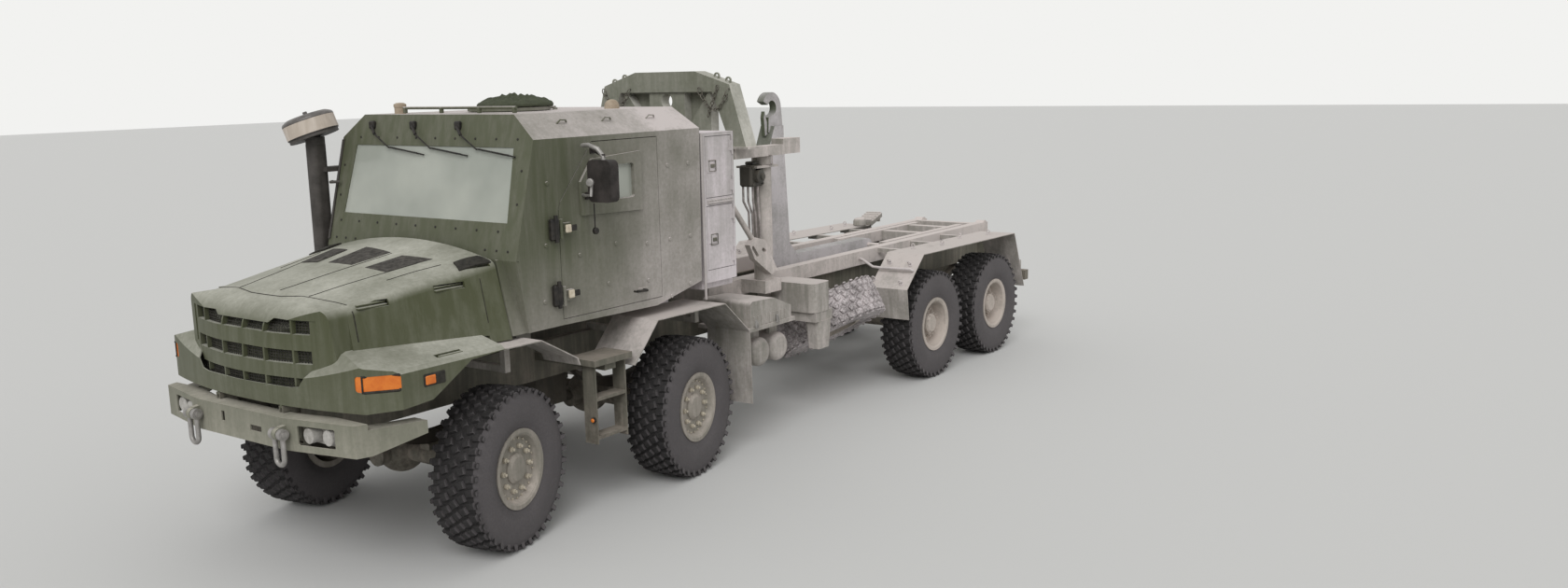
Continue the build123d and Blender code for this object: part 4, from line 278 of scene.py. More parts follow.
def block(low, high, bevel=0.0, taper=1.0, turn=0.0):
    """A block between two corners: top drawn in, edges bevelled, turned about the Z axis."""
    select()
    low, high = Vector(low), Vector(high)
    middle = (low + high) / 2
    bpy.ops.mesh.primitive_cube_add(size=1, location=middle)
    made = bpy.context.object
    made.scale = high - low
    bpy.ops.object.transform_apply(location=False, rotation=False)
    if taper != 1.0:
        mode("EDIT")
        bpy.ops.mesh.select_all(action="DESELECT")
        mode("OBJECT")
        for face in made.data.polygons:
            face.select = face.normal.z > 0.9
        mode("EDIT")
        bpy.ops.transform.resize(value=(taper, taper, 1), center_override=middle)
        mode("OBJECT")
    if bevel:
        shape(made, "BEVEL", width=bevel, segments=1, limit_method="ANGLE")
    if turn:
        made.rotation_euler = (0, 0, turn)
    bpy.ops.object.transform_apply()
    return made


def joined(pieces, name):
    """Several pieces made one object, at the origin."""
    select(*pieces)
    if len(pieces) > 1:
        bpy.ops.object.join()
    bpy.ops.object.transform_apply()
    made = bpy.context.object
    made.name = name
    made.data.name = name
    return made


def rings_of(piece, count):
    """A piece repeated round the Z axis by an array with a turned empty."""
    select()
    bpy.ops.object.empty_add(rotation=(0, 0, 2 * pi / count))
    hub = bpy.context.object
    shape(piece, "ARRAY", use_relative_offset=False, use_object_offset=True, offset_object=hub, count=count)
    bpy.data.objects.remove(hub)
    return piece


def copied(piece, matrix):
    """A copy with its own mesh, moved by a matrix, with its place in its mesh."""
    select(piece)
    bpy.ops.object.duplicate()
    made = bpy.context.object
    made.matrix_world = matrix
    bpy.ops.object.transform_apply()
    return made


def finish(parts, name, body, material, angle=32):
    """Parts joined as one named piece, with smooth shading, a material and a body."""
    piece = joined(parts, name)
    bpy.ops.object.shade_smooth_by_angle(angle=radians(angle))
    piece.data.materials.clear()
    piece.data.materials.append(material)
    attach(piece, body)
    return piece


tyre_rubber = tyre_material("muddy tyre rubber", "0f0d0c", "6f6a6c", 0.15, 0.42)
spare_rubber = tyre_material("frosted spare tread", "3a3531", "c9c1c2", 1.2, 0.1)
dress(tyre_rubber, *(name for name in nodes if "tyre" in name))
carcass = spun(TYRE_PROFILE, CARCASS_STEPS)
lug_low = TYRE_RADIUS - LUG_HEIGHT - LUG_ROOT
# tread blocks of one pitch: place along the axle, place round the tread as a share of a pitch,
# length along the axle, length round the tread, turn in degrees
TREAD_BLOCKS = [
    (-0.138, 0.0, 0.066, 0.058, 8), (-0.070, 0.5, 0.058, 0.062, 24), (0.0, 0.0, 0.056, 0.060, 35),
    (0.070, 0.5, 0.058, 0.062, 24), (0.138, 0.0, 0.066, 0.058, 8),
]
pitch_angle = 2 * pi / PITCHES
lugs = []
for along, share, length, breadth, turn in TREAD_BLOCKS:
    # modelled lying flat, then stood on the tread
    shoulder = abs(along) > 0.1
    height = TYRE_RADIUS - lug_low - (SHOULDER_DROP if shoulder else 0)
    low, high = (-breadth / 2, -length / 2, 0), (breadth / 2, length / 2, height)
    lug = block(low, high, bevel=0.004, taper=0.86, turn=radians(turn))
    lug.matrix_world = Matrix.Rotation(share * pitch_angle, 4, "Z") @ Matrix(
        ((0, 0, 1, lug_low), (1, 0, 0, 0), (0, 1, 0, along), (0, 0, 0, 1))
    )
    lugs.append(lug)
    if shoulder:
        # a rib runs from the block down the tyre's side
        side = 1 if along > 0 else -1
        low, high = (-RIB_HALF[0], -RIB_HALF[1], 0), (*RIB_HALF, RIB_HEIGHT)
        rib = block(low, high, bevel=0.004, taper=0.8)
        rib.matrix_world = Matrix((
            (0, -RIB_LEAN * side, RIB_RISE, RIB_RADIUS),
            (1, 0, 0, 0),
            (0, RIB_RISE, RIB_LEAN * side, side * RIB_PLACE),
            (0, 0, 0, 1),
        ))
        lugs.append(rib)
tread = rings_of(joined(lugs, "tread"), PITCHES)
tyre_form = joined([carcass, tread], "tyre_form")

# wheels: name, place of the axle, side and steered angle, as in the CAD
FIRST = 3.820
STEER_FRONT = radians(13.6)
STEER_SECOND = radians(9.4)
SIDES = ((1, "left"), (-1, "right"))
WHEELS = [
    (number + word, axle_x, side, steer)
    for number, axle_x, steer in (
        ("1_", FIRST, STEER_FRONT),
        ("2_", 1.795, STEER_SECOND),
        ("3_", -2.385, 0.0),
        ("4_", -3.835, 0.0),
    )
    for side, word in SIDES
]
KINGPIN_HALF = 0.843
HUB_REACH = 0.205


def wheel_matrix(axle_x, side, steer):
    """A wheel's own place: x ahead, z outwards along its axle."""
    outward = Vector((-sin(steer), cos(steer), 0)) * side
    along = Vector((cos(steer), sin(steer), 0))
    middle = Vector((axle_x, side * KINGPIN_HALF, TYRE_RADIUS)) + outward * HUB_REACH
    return Matrix.Translation(middle) @ Matrix((along, outward.cross(along), outward)).transposed().to_4x4()


# the spare leans against its carrier behind the battery box
SPARE_MATRIX = Matrix.Translation((-1.080, 0.655, 0.835)) @ Matrix.Rotation(radians(30), 4, "X")
for name, axle_x, side, steer in WHEELS:
    tyre = [copied(tyre_form, wheel_matrix(axle_x, side, steer))]
    tyre = finish(tyre, "moulded_tyre_" + name, "wheel_" + name, tyre_rubber)
    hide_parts("tyre_" + name)
spare = [copied(tyre_form, SPARE_MATRIX)]
spare = finish(spare, "moulded_tyre_spare", "chassis", spare_rubber)
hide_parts("spare_tyre")
bpy.data.objects.remove(tyre_form)

# Rims: pressed steel discs welded into rolled rims, bolted to the hubs.
# The paint is dull olive in front, and pale with dried dust towards the rear.
rim_paint = sprayed_paint(
    "dusty rim paint", "5c5c52", "b9afa7", 0.3, (-1.0, 3.2, 0.5), 0.3, rear=(-2.0, 2.5, 0.55)
)
dress(rim_paint, *(name for name in nodes if "rim_" in name or name == "spare_rim"))

# Wheel nuts and flange bolts: forged steel, zinc-plated, on the disc and round the flange.
# Zinc under dust looks a dull cream. The rear ones have the dust of their rims.
NUT_CIRCLE = 0.163
FLANGE_CIRCLE = 0.219
HUB_CIRCLE = 0.112
FRONT_FACE = 0.119
REAR_FACE = 0.029
REAR_HUB_FACE = 0.129


def plain_material(name, colour, second, scale, roughness, metallic=0.0, specular=0.5):
    """A finish whose colour wanders a little, at a given number of patches a metre."""
    material, tree, shader, place = new_material(name)
    wander = add_node(tree, "TexNoise", {"Vector": place, "Scale": scale, "Detail": 5.0, "Roughness": 0.65})
    spread = add_node(tree, "MapRange", {"Value": wander["Fac"], "From Min": 0.35, "From Max": 0.65})
    mixed = mix_colours(tree, spread[0], linear(colour), linear(second))
    tree.links.new(mixed, shader.inputs["Base Color"])
    shader.inputs["Roughness"].default_value = roughness
    shader.inputs["Metallic"].default_value = metallic
    shader.inputs["Specular IOR Level"].default_value = specular
    return material


def nut(radius, height, place, sides=6):
    """A nut or bolt head that stands on z, with its top edge bevelled."""
    select()
    bpy.ops.mesh.primitive_cylinder_add(
        vertices=sides, radius=radius, depth=height, location=(place[0], place[1], place[2] + height / 2)
    )
    made = bpy.context.object
    shape(made, "BEVEL", width=radius * 0.18, segments=1)
    bpy.ops.object.transform_apply()
    return made


def bolt_ring(count, circle, radius, height, z, stud=0.0):
    """A ring of bolt heads, each with a stud end if it has one."""
    parts = [nut(radius, height, (circle, 0, z))]
    if stud:
        parts.append(nut(radius * 0.55, height + stud, (circle, 0, z), 12))
    return rings_of(joined(parts, "bolts"), count)


nut_steel = plain_material("dusty zinc on the nuts", "a69f90", "c3baa9", 40.0, 0.6, metallic=0.2)
front_bolts = joined(
    [
        bolt_ring(10, NUT_CIRCLE, 0.021, 0.026, FRONT_FACE, stud=0.016),
        bolt_ring(24, FLANGE_CIRCLE, 0.009, 0.010, FRONT_FACE),
    ],
    "front_nuts",
)
rear_bolts = joined(
    [
        bolt_ring(10, NUT_CIRCLE, 0.021, 0.026, REAR_FACE, stud=0.02),
        bolt_ring(12, HUB_CIRCLE, 0.0075, 0.007, REAR_HUB_FACE),
    ],
    "rear_nuts",
)
for name, axle_x, side, steer in WHEELS:
    form, coat = (front_bolts, nut_steel) if steer else (rear_bolts, rim_paint)
    bolts = [copied(form, wheel_matrix(axle_x, side, steer))]
    finish(bolts, "wheel_nuts_" + name, "wheel_" + name, coat)
bpy.data.objects.remove(front_bolts)
bpy.data.objects.remove(rear_bolts)

# Armoured cab: welded steel plate, with its screen frame, roof hatch and two thick doors.
# The olive paint is quite matt, and pale with road dust low down and towards the rear.
cab_paint = sprayed_paint(
    "matt olive paint on armour", "4b4e3c", "c4bcba", 0.72, (1.3, 2.1, 0.35), 0.08, rear=(1.3, 3.05, 0.6)
)
dress(cab_paint, "cab_shell", "windscreen_frame", "roof_hatch", "door_left", "door_right")

# Cab glass: thick laminated armour glass, held in the screen frame and in the doors.
# It is grey-green and only half clear, under a dusty film that comes and goes over 700 mm.
screen_glass, tree, shader, place = new_material("laminated armour glass")
film = add_node(tree, "TexNoise", {"Vector": place, "Scale": 1.4, "Detail": 3.0, "Roughness": 0.5})
film = {"Value": film["Fac"], "From Min": 0.3, "From Max": 0.7, "To Min": 0.25, "To Max": 0.7}
haze = add_node(tree, "MapRange", film)[0]
glazed = mix_colours(tree, haze, linear("8b938b"), linear("dadcd2"))
tree.links.new(glazed, shader.inputs["Base Color"])
shader.inputs["Roughness"].default_value = 0.12
shader.inputs["Alpha"].default_value = 0.62
dress(screen_glass, "windscreen", "door_window_left", "door_window_right")

# Seats: foam cushions in a hard-wearing woven cloth, bolted to the cab floor.
# It is a flat black, with faded patches of 17 mm in place of a weave too fine to show.
seat_cloth = plain_material("black woven seat cloth", "1c1c1d", "2a2a2a", 60.0, 0.95)
dress(seat_cloth, "seats")

# Mirror housings and dashboard: injection-moulded polypropylene with a fine grain.
# The grain makes it dull, and dust turns the black a little grey.
dark_plastic = plain_material("grained black plastic", "24211f", "3d3836", 9.0, 0.7, specular=0.3)
dress(dark_plastic, "mirror_left", "mirror_right", "dashboard")

# Hood and grille bars: moulded fibre-reinforced plastic, hinged at the nose.
# The olive paint keeps a soft sheen on the sides, and pale dust lies on the top.
hood_paint = sprayed_paint(
    "olive paint on moulding", "42452f", "bdbcb2", 0.6, (1.2, 1.8, 0.08), 0.08, gloss=0.5
)
dress(hood_paint, "hood", "grille")

# Front bumper: folded steel plate, bolted to the ends of the frame.
# Its olive paint is scratched and stone-chipped, so it looks a shade paler than the hood.
bumper_paint = sprayed_paint("scratched olive paint", "5a5c4e", "b5b0a4", 0.45, (0.9, 1.5, 0.35), 0.15)
dress(bumper_paint, "bumper")

# Lamps and tow shackles: amber lenses in the wings and grey ones in the bumper, both moulded
# polycarbonate, smooth and shiny, and forged shackles, galvanised to a spotted grey.
amber_lens = plain_material("moulded amber lens", "c8641c", "d97a2a", 12.0, 0.25)
dress(amber_lens, "wing_lamps")
lamp_lens = plain_material("dusty lamp lens", "8f8c86", "b4b1ac", 20.0, 0.2)
dress(lamp_lens, "lamps")
grey_steel = plain_material("galvanised steel", "8a8784", "a8a5a2", 18.0, 0.55, metallic=0.6)
dress(grey_steel, "tow_fittings")

# Fenders, side boxes and tanks: folded and welded sheet steel on brackets.
# Olive paint hardly shows under a film of pale dust.
sheet_paint = sprayed_paint(
    "dusty olive paint on sheet", "55574b", "c2bab6", 0.75, (0.7, 2.6, 0.6), 0.35, mud=0.2
)
dress(sheet_paint, "front_fenders", "rear_fenders", "side_boxes", "right_tanks")

# Side locker: a tall sheet steel case behind the cab, with two hinged doors.
# It has the most dust of all, and looks a pale, chalky grey.
locker_paint = sprayed_paint("pale dusty paint on lockers", "7d7c75", "d2cacd", 0.8, (1.2, 4.6, 1.0), 0.3)
dress(locker_paint, "side_locker", "locker_door_upper", "locker_door_lower")

# Loader: welded steel box sections. The subframe is bolted to the frame, the lift frame and
# the hook arm turn on pins. Its paint is worn and dusty on the deck; down the sides it is
# painted paler, as painted light.
loader_paint = sprayed_paint(
    "worn paint on the loader", "5d5f54", "cbc2be", 0.8, (1.2, 3.6, 0.6), 0.3, aside=0.35
)
dress(loader_paint, "lift_subframe", "lift_frame", "cylinder_barrels", "frame_posts")
# the hook arm's side faces get the most painted light, so they look pale grey beside its dark green front
arm_paint = sprayed_paint(
    "olive paint on the hook arm", "444a38", "c4bfc1", 0.5, (1.2, 3.0, 0.1), 0.15, aside=0.85
)
dress(arm_paint, "hook_arm")

# Lift rods: ground steel, hard-chromed, so they are bright and mirror-like.
# They slide out of the barrels when the lift frame rises.
rod_chrome = plain_material("hard chrome on the rods", "a9aaab", "bfc0c1", 5.0, 0.15, metallic=1.0)
dress(rod_chrome, "cylinder_rods")

# Container frame: a bent and welded steel arch on the posts, sprayed with the truck.
# It keeps more of its olive than the loader does, under patchy dust.
# its side faces are painted paler too, as painted light
arch_paint = sprayed_paint(
    "olive paint on the container frame", "4c503d", "bdbbb3", 0.5, (1.2, 4.5, 0.6), 0.12, aside=0.5
)
dress(arch_paint, "container_frame")

# Hood fittings: rubber seams laid in the moulding's surface, grit strips glued on to stand on,
# and painted grips in the slots. Weathered rubber and grit look a dull charcoal.
DOWN = (0, 0, -1)
ABOVE_HOOD = 2.4
SEAM_RADIUS = 0.0035


def touch(name, origin, direction):
    """Where a line from a point first meets a CAD node, with the surface's own direction there."""
    hit, place, normal, face = nodes[name].ray_cast(Vector(origin), Vector(direction).normalized())
    if not hit:
        raise RuntimeError("nothing of " + name + " at " + str(tuple(origin)))
    return place, normal


def bar(points, radius, name="bar", sides=4, closed=False):
    """A round bar along a line of points."""
    curve = bpy.data.curves.new(name, "CURVE")
    curve.dimensions = "3D"
    line = curve.splines.new("POLY")
    line.points.add(len(points) - 1)
    for point, place in zip(line.points, points):
        point.co = (*place, 1)
    line.use_cyclic_u = closed
    curve.bevel_depth = radius
    curve.bevel_resolution = sides
    curve.use_fill_caps = True
    made = bpy.data.objects.new(name, curve)
    bpy.context.collection.objects.link(made)
    select(made)
    bpy.ops.object.convert(target="MESH")
    return bpy.context.object


def seam(name, route, direction, radius, step=0.03):
    """A bar half sunk in a node's surface along a route seen in one direction."""
    direction = Vector(direction)
    points = []
    for start, end in zip(route, route[1:]):
        start, end = Vector(start), Vector(end)
        count = max(1, round((end - start).length / step))
        for index in range(count + (end == Vector(route[-1]))):
            points.append(touch(name, start.lerp(end, index / count), direction)[0])
    return bar(points, radius)


def patch(name, corners, direction, proud=0.003, across=8):
    """A thin sheet laid on a node's surface between four corners."""
    select()
    bpy.ops.mesh.primitive_grid_add(x_subdivisions=across, y_subdivisions=across, size=2)
    sheet = bpy.context.object
    a, b, c, d = (Vector(corner) for corner in corners)
    for vertex in sheet.data.vertices:
        u, v = (vertex.co.x + 1) / 2, (vertex.co.y + 1) / 2
        spot = a.lerp(b, u).lerp(d.lerp(c, u), v)
        place, normal = touch(name, spot, direction)
        vertex.co = place - Vector(direction).normalized() * proud
    shape(sheet, "SOLIDIFY", thickness=proud * 1.6, offset=-1)
    face_outwards()
    return sheet


def over_hood(x, y):
    """A point above the hood, given from the first axle and the middle."""
    return FIRST + x, y, ABOVE_HOOD


def set_out(side, points):
    """Points given from the first axle and the middle, on one side of the truck."""
    return [(FIRST + x, side * y, z) for x, y, z in points]


def side_block(side, low, high, bevel):
    """A block on one side of the truck: the y of its corners is their distance outwards."""
    near, far = sorted((side * low[1], side * high[1]))
    return block((low[0], near, low[2]), (high[0], far, high[2]), bevel=bevel)


rubber_black = plain_material("weathered black rubber", "262522", "3a3833", 30.0, 0.8, specular=0.25)
# routes seen from above, each with the sides that it is on
HOOD_SEAMS = [
    ((1,), [(0.950, 0.079), (0.549, 0.130), (0.110, 0.200)]),
    ((1, -1), [(0.950, 0.400), (0.678, 0.436), (0.378, 0.499), (0.165, 0.545)]),
    ((1, -1), [(0.484, 0.616), (0.265, 0.650), (0.082, 0.700)]),
    ((1, -1), [(1.012, 0.0), (1.010, 0.167), (0.978, 0.376), (0.942, 0.526), (0.916, 0.657), (0.905, 0.740)]),
]
# upright seams: between the nose and the side panel, and ahead of the rear corner
UPRIGHT_SEAMS = [
    ([(0.905, 1.3, 1.86), (0.905, 1.3, 1.66)], 0.004),
    ([(-0.060, 1.3, 1.95), (-0.050, 1.3, 1.64)], 0.003),
]
seams = []
for sides, route in HOOD_SEAMS:
    for side in sides:
        seams.append(seam("hood", [over_hood(x, side * y) for x, y in route], DOWN, SEAM_RADIUS))
for side in (1, -1):
    for route, radius in UPRIGHT_SEAMS:
        seams.append(seam("hood", set_out(side, route), (0, -side, 0), radius))
finish(seams, "hood_seams", "hood_group", rubber_black)

grit = plain_material("worn grit strip", "3b3937", "5d5a56", 26.0, 0.95, specular=0.1)
MIDDLE_STRIP = [(0.040, -0.185), (0.40, -0.150), (0.40, 0.120), (0.10, 0.175)]
OUTER_STRIP = [(0.112, 0.320), (0.402, 0.277), (0.393, 0.485), (0.050, 0.575)]
strips = []
for side, corners in ((1, MIDDLE_STRIP), (1, OUTER_STRIP), (-1, OUTER_STRIP)):
    strips.append(patch("hood", [over_hood(x, side * y) for x, y in corners], DOWN))
finish(strips, "grit_strips", "hood_group", grit)

# slots of the sides and wings: place, height, length and width, with a sloped shelf and a bar
SLOTS = [(0.760, 1.885, 0.230, 0.044), (0.185, 1.925, 0.240, 0.044)]
SHELF = 0.014
grips = []
for x, z, length, tall in SLOTS:
    start, end, shelf = x - length / 2, x + length / 2, z - tall / 2
    for side in (1, -1):
        face = touch("hood", (FIRST + x, side * 1.3, shelf - 0.012), (0, -side, 0))[0]
        y = abs(face.y)
        low = (FIRST + start, y - 0.045, shelf)
        grips.append(side_block(side, low, (FIRST + end, y - 0.002, shelf + SHELF), 0.004))
        grips.append(bar(set_out(side, [(start, y - 0.03, z + 0.004), (end, y - 0.03, z + 0.004)]), 0.007))
for side in (1, -1):
    grips.append(bar(set_out(side, [(0.34, 1.165, 1.525), (0.54, 1.165, 1.525)]), 0.009))
finish(grips, "hood_grips", "hood_group", hood_paint)

# Grille screen: a dark stamped steel mesh behind the painted bars, clipped in the hood.
# It follows the bars' bow, so its points come from the plan and the side profile of the nose.
D = 0.032  # how far the screen lies behind the bars


def arc_through(first, middle, last):
    """Centre and radius of the circle through three points of a plane."""
    (ax, ay), (bx, by), (cx, cy) = first, middle, last
    d = 2 * (ax * (by - cy) + bx * (cy - ay) + cx * (ay - by))
    a, b, c = ax * ax + ay * ay, bx * bx + by * by, cx * cx + cy * cy
    x = (a * (by - cy) + b * (cy - ay) + c * (ay - by)) / d
    y = (a * (cx - bx) + b * (ax - cx) + c * (bx - ax)) / d
    return x, y, sqrt((ax - x) ** 2 + (ay - y) ** 2)


PLAN = arc_through((1.075 - D, -0.850 + D), (1.233 - D, 0), (1.075 - D, 0.850 - D))
PROFILE = arc_through((1.213 - D, 1.740 - D / 2), (1.160 - D, 1.850 - D), (1.020 - D / 2, 1.920 - D))
SCREEN_HALF_WIDTH = 0.735
SCREEN_HALF_HEIGHT = 0.268
SCREEN_MIDDLE = 1.600
STRAND = 0.0032
select()
bpy.ops.mesh.primitive_grid_add(x_subdivisions=60, y_subdivisions=28, size=2)
screen = bpy.context.object
for vertex in screen.data.vertices:
    y = vertex.co.x * SCREEN_HALF_WIDTH
    z = SCREEN_MIDDLE + vertex.co.y * SCREEN_HALF_HEIGHT
    x = PLAN[0] + sqrt(PLAN[2] ** 2 - y * y)
    if z > 1.740 - D / 2:
        x = min(x, PROFILE[0] + sqrt(PROFILE[2] ** 2 - (z - PROFILE[1]) ** 2))
    else:
        x = min(x, 1.233 - D - 0.020 * max(z - 1.420, 0) / (0.320 - D / 2))
    vertex.co = (FIRST + x, y, z)
mode("EDIT")
bpy.ops.mesh.select_all(action="SELECT")
bpy.ops.mesh.inset(thickness=STRAND, use_individual=True)
bpy.ops.mesh.delete(type="FACE")
mode("OBJECT")
shape(screen, "SOLIDIFY", thickness=0.003)
finish([screen], "grille_screen", "hood_group", rubber_black)

# Screen screws: blackened steel socket heads round the screen frame, set in its face.
# Blackening leaves them dark, with a faint metal sheen.
SIDE_SCREWS = ((1.02, 2.446), (1.02, 2.681), (0.754, 2.115), (0.875, 2.115), (0.993, 2.115))
SCREEN_SCREWS = [(-0.966 + 0.2288 * i, 2.250) for i in range(9)]
SCREEN_SCREWS += [(-0.865 + 0.225 * i, 2.902) for i in range(9)]
SCREEN_SCREWS += [(side * y, z) for side in (1, -1) for y, z in SIDE_SCREWS]
blackened = plain_material("blackened steel", "1f1e1d", "37332f", 24.0, 0.55, metallic=0.3, specular=0.4)


def face_x(y, z):
    """The frontmost point of the screen frame or its glass, seen from ahead."""
    found = []
    for name in ("windscreen_frame", "windscreen"):
        hit, place, normal, face = nodes[name].ray_cast(Vector((6, y, z)), Vector((-1, 0, 0)))
        if hit:
            found.append((place.x, normal))
    return max(found, key=lambda item: item[0])


def stand_on(piece, place, normal):
    """A piece modelled on z is stood on a surface and its place kept in its mesh."""
    select(piece)
    turned = Vector(normal).to_track_quat("Z", "Y").to_matrix().to_4x4()
    piece.matrix_world = Matrix.Translation(place) @ turned
    bpy.ops.object.transform_apply()
    return piece


screws = []
for y, z in SCREEN_SCREWS:
    x, normal = face_x(y, z)
    screws.append(stand_on(nut(0.0095, 0.006, (0, 0, -0.001), 10), (x, y, z), normal))
finish(screws, "screen_screws", "chassis", blackened)

# Wipers: three steel arms hung from motors over the screen, each with a rubber blade.
# All are black, and the blades lie on the glass, slanted down to the left.
WIPERS = [-0.727, -0.231, 0.285]
ARM_RADIUS = 0.012
BLADE_RADIUS = 0.006
wipers = []
for y in WIPERS:
    x, normal = face_x(y, 3.010)
    wipers.append(block((x - 0.004, y - 0.030, 2.965), (x + 0.036, y + 0.030, 3.030), bevel=0.01))
    start = Vector((x + 0.030, y + 0.005, 2.990))
    elbow = Vector((face_x(y + 0.08, 2.930)[0] + 0.045, y + 0.08, 2.930))
    end = Vector((face_x(y + 0.26, 2.800)[0] + 0.030, y + 0.26, 2.826))
    wipers.append(bar([start, elbow], ARM_RADIUS))
    wipers.append(bar([elbow, end], ARM_RADIUS / 2))
    blade = [(y + 0.225 + step * 0.055, 2.830 - step * 0.0065) for step in range(9)]
    wipers.append(bar([(face_x(a, b - 0.02)[0] + 0.012, a, b) for a, b in blade], BLADE_RADIUS))
    claws = [(face_x(a, b - 0.02)[0] + 0.030, a, b + 0.008) for a, b in blade[1:8:3]]
    wipers.append(bar(claws, 0.004))
finish(wipers, "wipers", "chassis", blackened)

# Hinge blocks: forged and blackened, welded on the cab's side, each with its pin.
# Cream-painted wear pads on the doors run beside them.
HINGE_HEIGHTS = (2.242, 1.755)
pad_paint = plain_material("cream paint on pads", "b9ad98", "d1c7b4", 30.0, 0.7)
for side, word in SIDES:
    blocks, pads = [], []
    for z in HINGE_HEIGHTS:
        blocks.append(
            side_block(side, (FIRST - 0.672, 1.094, z - 0.080), (FIRST - 0.585, 1.139, z + 0.080), 0.012)
        )
        blocks.append(bar(set_out(side, [(-0.635, 1.132, z - 0.095), (-0.635, 1.132, z + 0.105)]), 0.016))
        pads.append(
            side_block(side, (FIRST - 0.765, 1.141, z - 0.030), (FIRST - 0.712, 1.163, z + 0.030), 0.006)
        )
    finish(blocks, "hinge_blocks_" + word, "chassis", blackened)
    finish(pads, "hinge_pads_" + word, "door_group_" + word, pad_paint)

# Door fittings: hinge straps, a bent bar handle on two feet, and a tether with a round knob.
# They are blackened steel, bolted on the door.
for side, word in SIDES:
    dark = [
        side_block(side, (FIRST - 0.830, 1.139, z - 0.022), (FIRST - 0.765, 1.155, z + 0.022), 0.006)
        for z in HINGE_HEIGHTS
    ]
    dark.append(bar(set_out(side, [(-1.440, 1.168, 1.668), (-1.560, 1.168, 1.660)]), 0.010))
    for x in (-1.445, -1.555):
        dark.append(bar(set_out(side, [(x, 1.13, 1.664), (x, 1.168, 1.664)]), 0.008))
    dark.append(bar(set_out(side, [(-1.024, 1.146, 2.400), (-1.024, 1.146, 2.215)]), 0.005))
    knob = nut(0.026, 0.03, (0, 0, 0), 12)
    dark.append(stand_on(knob, (FIRST - 1.022, side * 1.138, 2.193), (0, side, 0)))
    finish(dark, "door_fittings_" + word, "door_group_" + word, blackened)

# Mirror tubes: cold-bent galvanised steel, from the door's top and middle to the housing.
# A ball joint on the front of the housing holds it. They show a spotted pale grey.
UPPER_TUBE = [
    (-0.945, 1.13, 2.835), (-0.925, 1.21, 2.842), (-0.935, 1.29, 2.815), (-0.945, 1.335, 2.760),
    (-0.945, 1.335, 2.715),
]
LOWER_TUBE = [(-0.850, 1.30, 2.576), (-0.838, 1.30, 2.480), (-0.900, 1.18, 2.470), (-0.940, 1.12, 2.470)]
for side, word in SIDES:
    ball = nut(0.030, 0.028, (0, 0, 0), 16)
    tube = [
        bar(set_out(side, UPPER_TUBE), 0.017),
        bar(set_out(side, LOWER_TUBE), 0.012),
        stand_on(ball, (FIRST - 0.842, side * 1.30, 2.576), (1, side * 0.3, 0)),
    ]
    finish(tube, "mirror_tube_" + word, "door_group_" + word, grey_steel)

# Roof rail and lifting hooks: steel rod, bent and welded to the roof, and painted with the cab.
# The rail runs along the front edge, and three hooks stand on each slope.
RAIL_PLACE = FIRST - 0.640
roof = [bar([(RAIL_PLACE, -0.50, 3.125), (RAIL_PLACE, 0.78, 3.125)], 0.011)]
for y in (-0.48, -0.05, 0.38, 0.76):
    low, high = (RAIL_PLACE - 0.015, y - 0.012, 3.085), (RAIL_PLACE + 0.015, y + 0.012, 3.130)
    roof.append(block(low, high, bevel=0.003))
for x in (-0.86, -1.34, -1.85):
    for side in (1, -1):
        place, normal = touch("cab_shell", (FIRST + x, side * 1.3, 3.0), (0, -side, 0))
        # height over the slope, and distance back
        hook = [(-0.004, 0), (0.035, -0.020), (0.030, -0.075), (0.010, -0.095)]
        roof.append(bar([place + normal * up + Vector((back, 0, 0)) for up, back in hook], 0.007))
finish(roof, "roof_rail", "chassis", cab_paint)

# Roof domes: a low vent cap and a round lamp, moulded in tan plastic and screwed to the roof.
# The sun has faded them to a dull sand colour.
# distance from the middle and height; the last point closes the top
VENT_PROFILE = [
    (0.062, -0.02), (0.060, 0.01), (0.052, 0.030), (0.036, 0.046), (0.016, 0.053), (0.0005, 0.055),
]
LAMP_PROFILE = [
    (0.045, -0.02), (0.045, 0.030), (0.050, 0.034), (0.050, 0.055), (0.030, 0.066), (0.0005, 0.068),
]
tan_cap = plain_material("faded tan cap", "8f7f6c", "a89a87", 14.0, 0.7)
domes = []
for profile, x, y in ((VENT_PROFILE, -1.83, 0.62), (LAMP_PROFILE, -0.70, -0.62)):
    domes.append(stand_on(spun(profile, 24), (FIRST + x, y, 3.098), (0, 0, 1)))
finish(domes, "roof_domes", "chassis", tan_cap)

# Stowed net on the hatch: a camouflage net of knotted cord and cloth leaves, folded and tied.
# Its heap is a rounded block pushed about by folds, in a coarse, dull dark green.
select()
bpy.ops.mesh.primitive_uv_sphere_add(segments=64, ring_count=32, radius=1)
heap = bpy.context.object
for vertex in heap.data.vertices:
    x, y, z = vertex.co
    reach = sqrt(x * x + y * y)
    square = 1 / max(abs(x), abs(y), 0.75 * reach, 0.3)
    swell = 0.55 + 0.45 * min(square, 1.4) * reach
    x, y = x * swell, y * swell
    folds = 0.16 * sin(9 * x + 4 * y) * cos(7 * y - 3 * x) + 0.10 * sin(23 * y + 6 * x) + 0.07 * sin(31 * x)
    height = max(z, -0.25) * (0.070 + 0.120 * folds) + 0.018
    vertex.co = (FIRST - 1.30 + x * 0.26, 0.06 + y * 0.27, 3.110 + max(height, 0))
face_outwards()
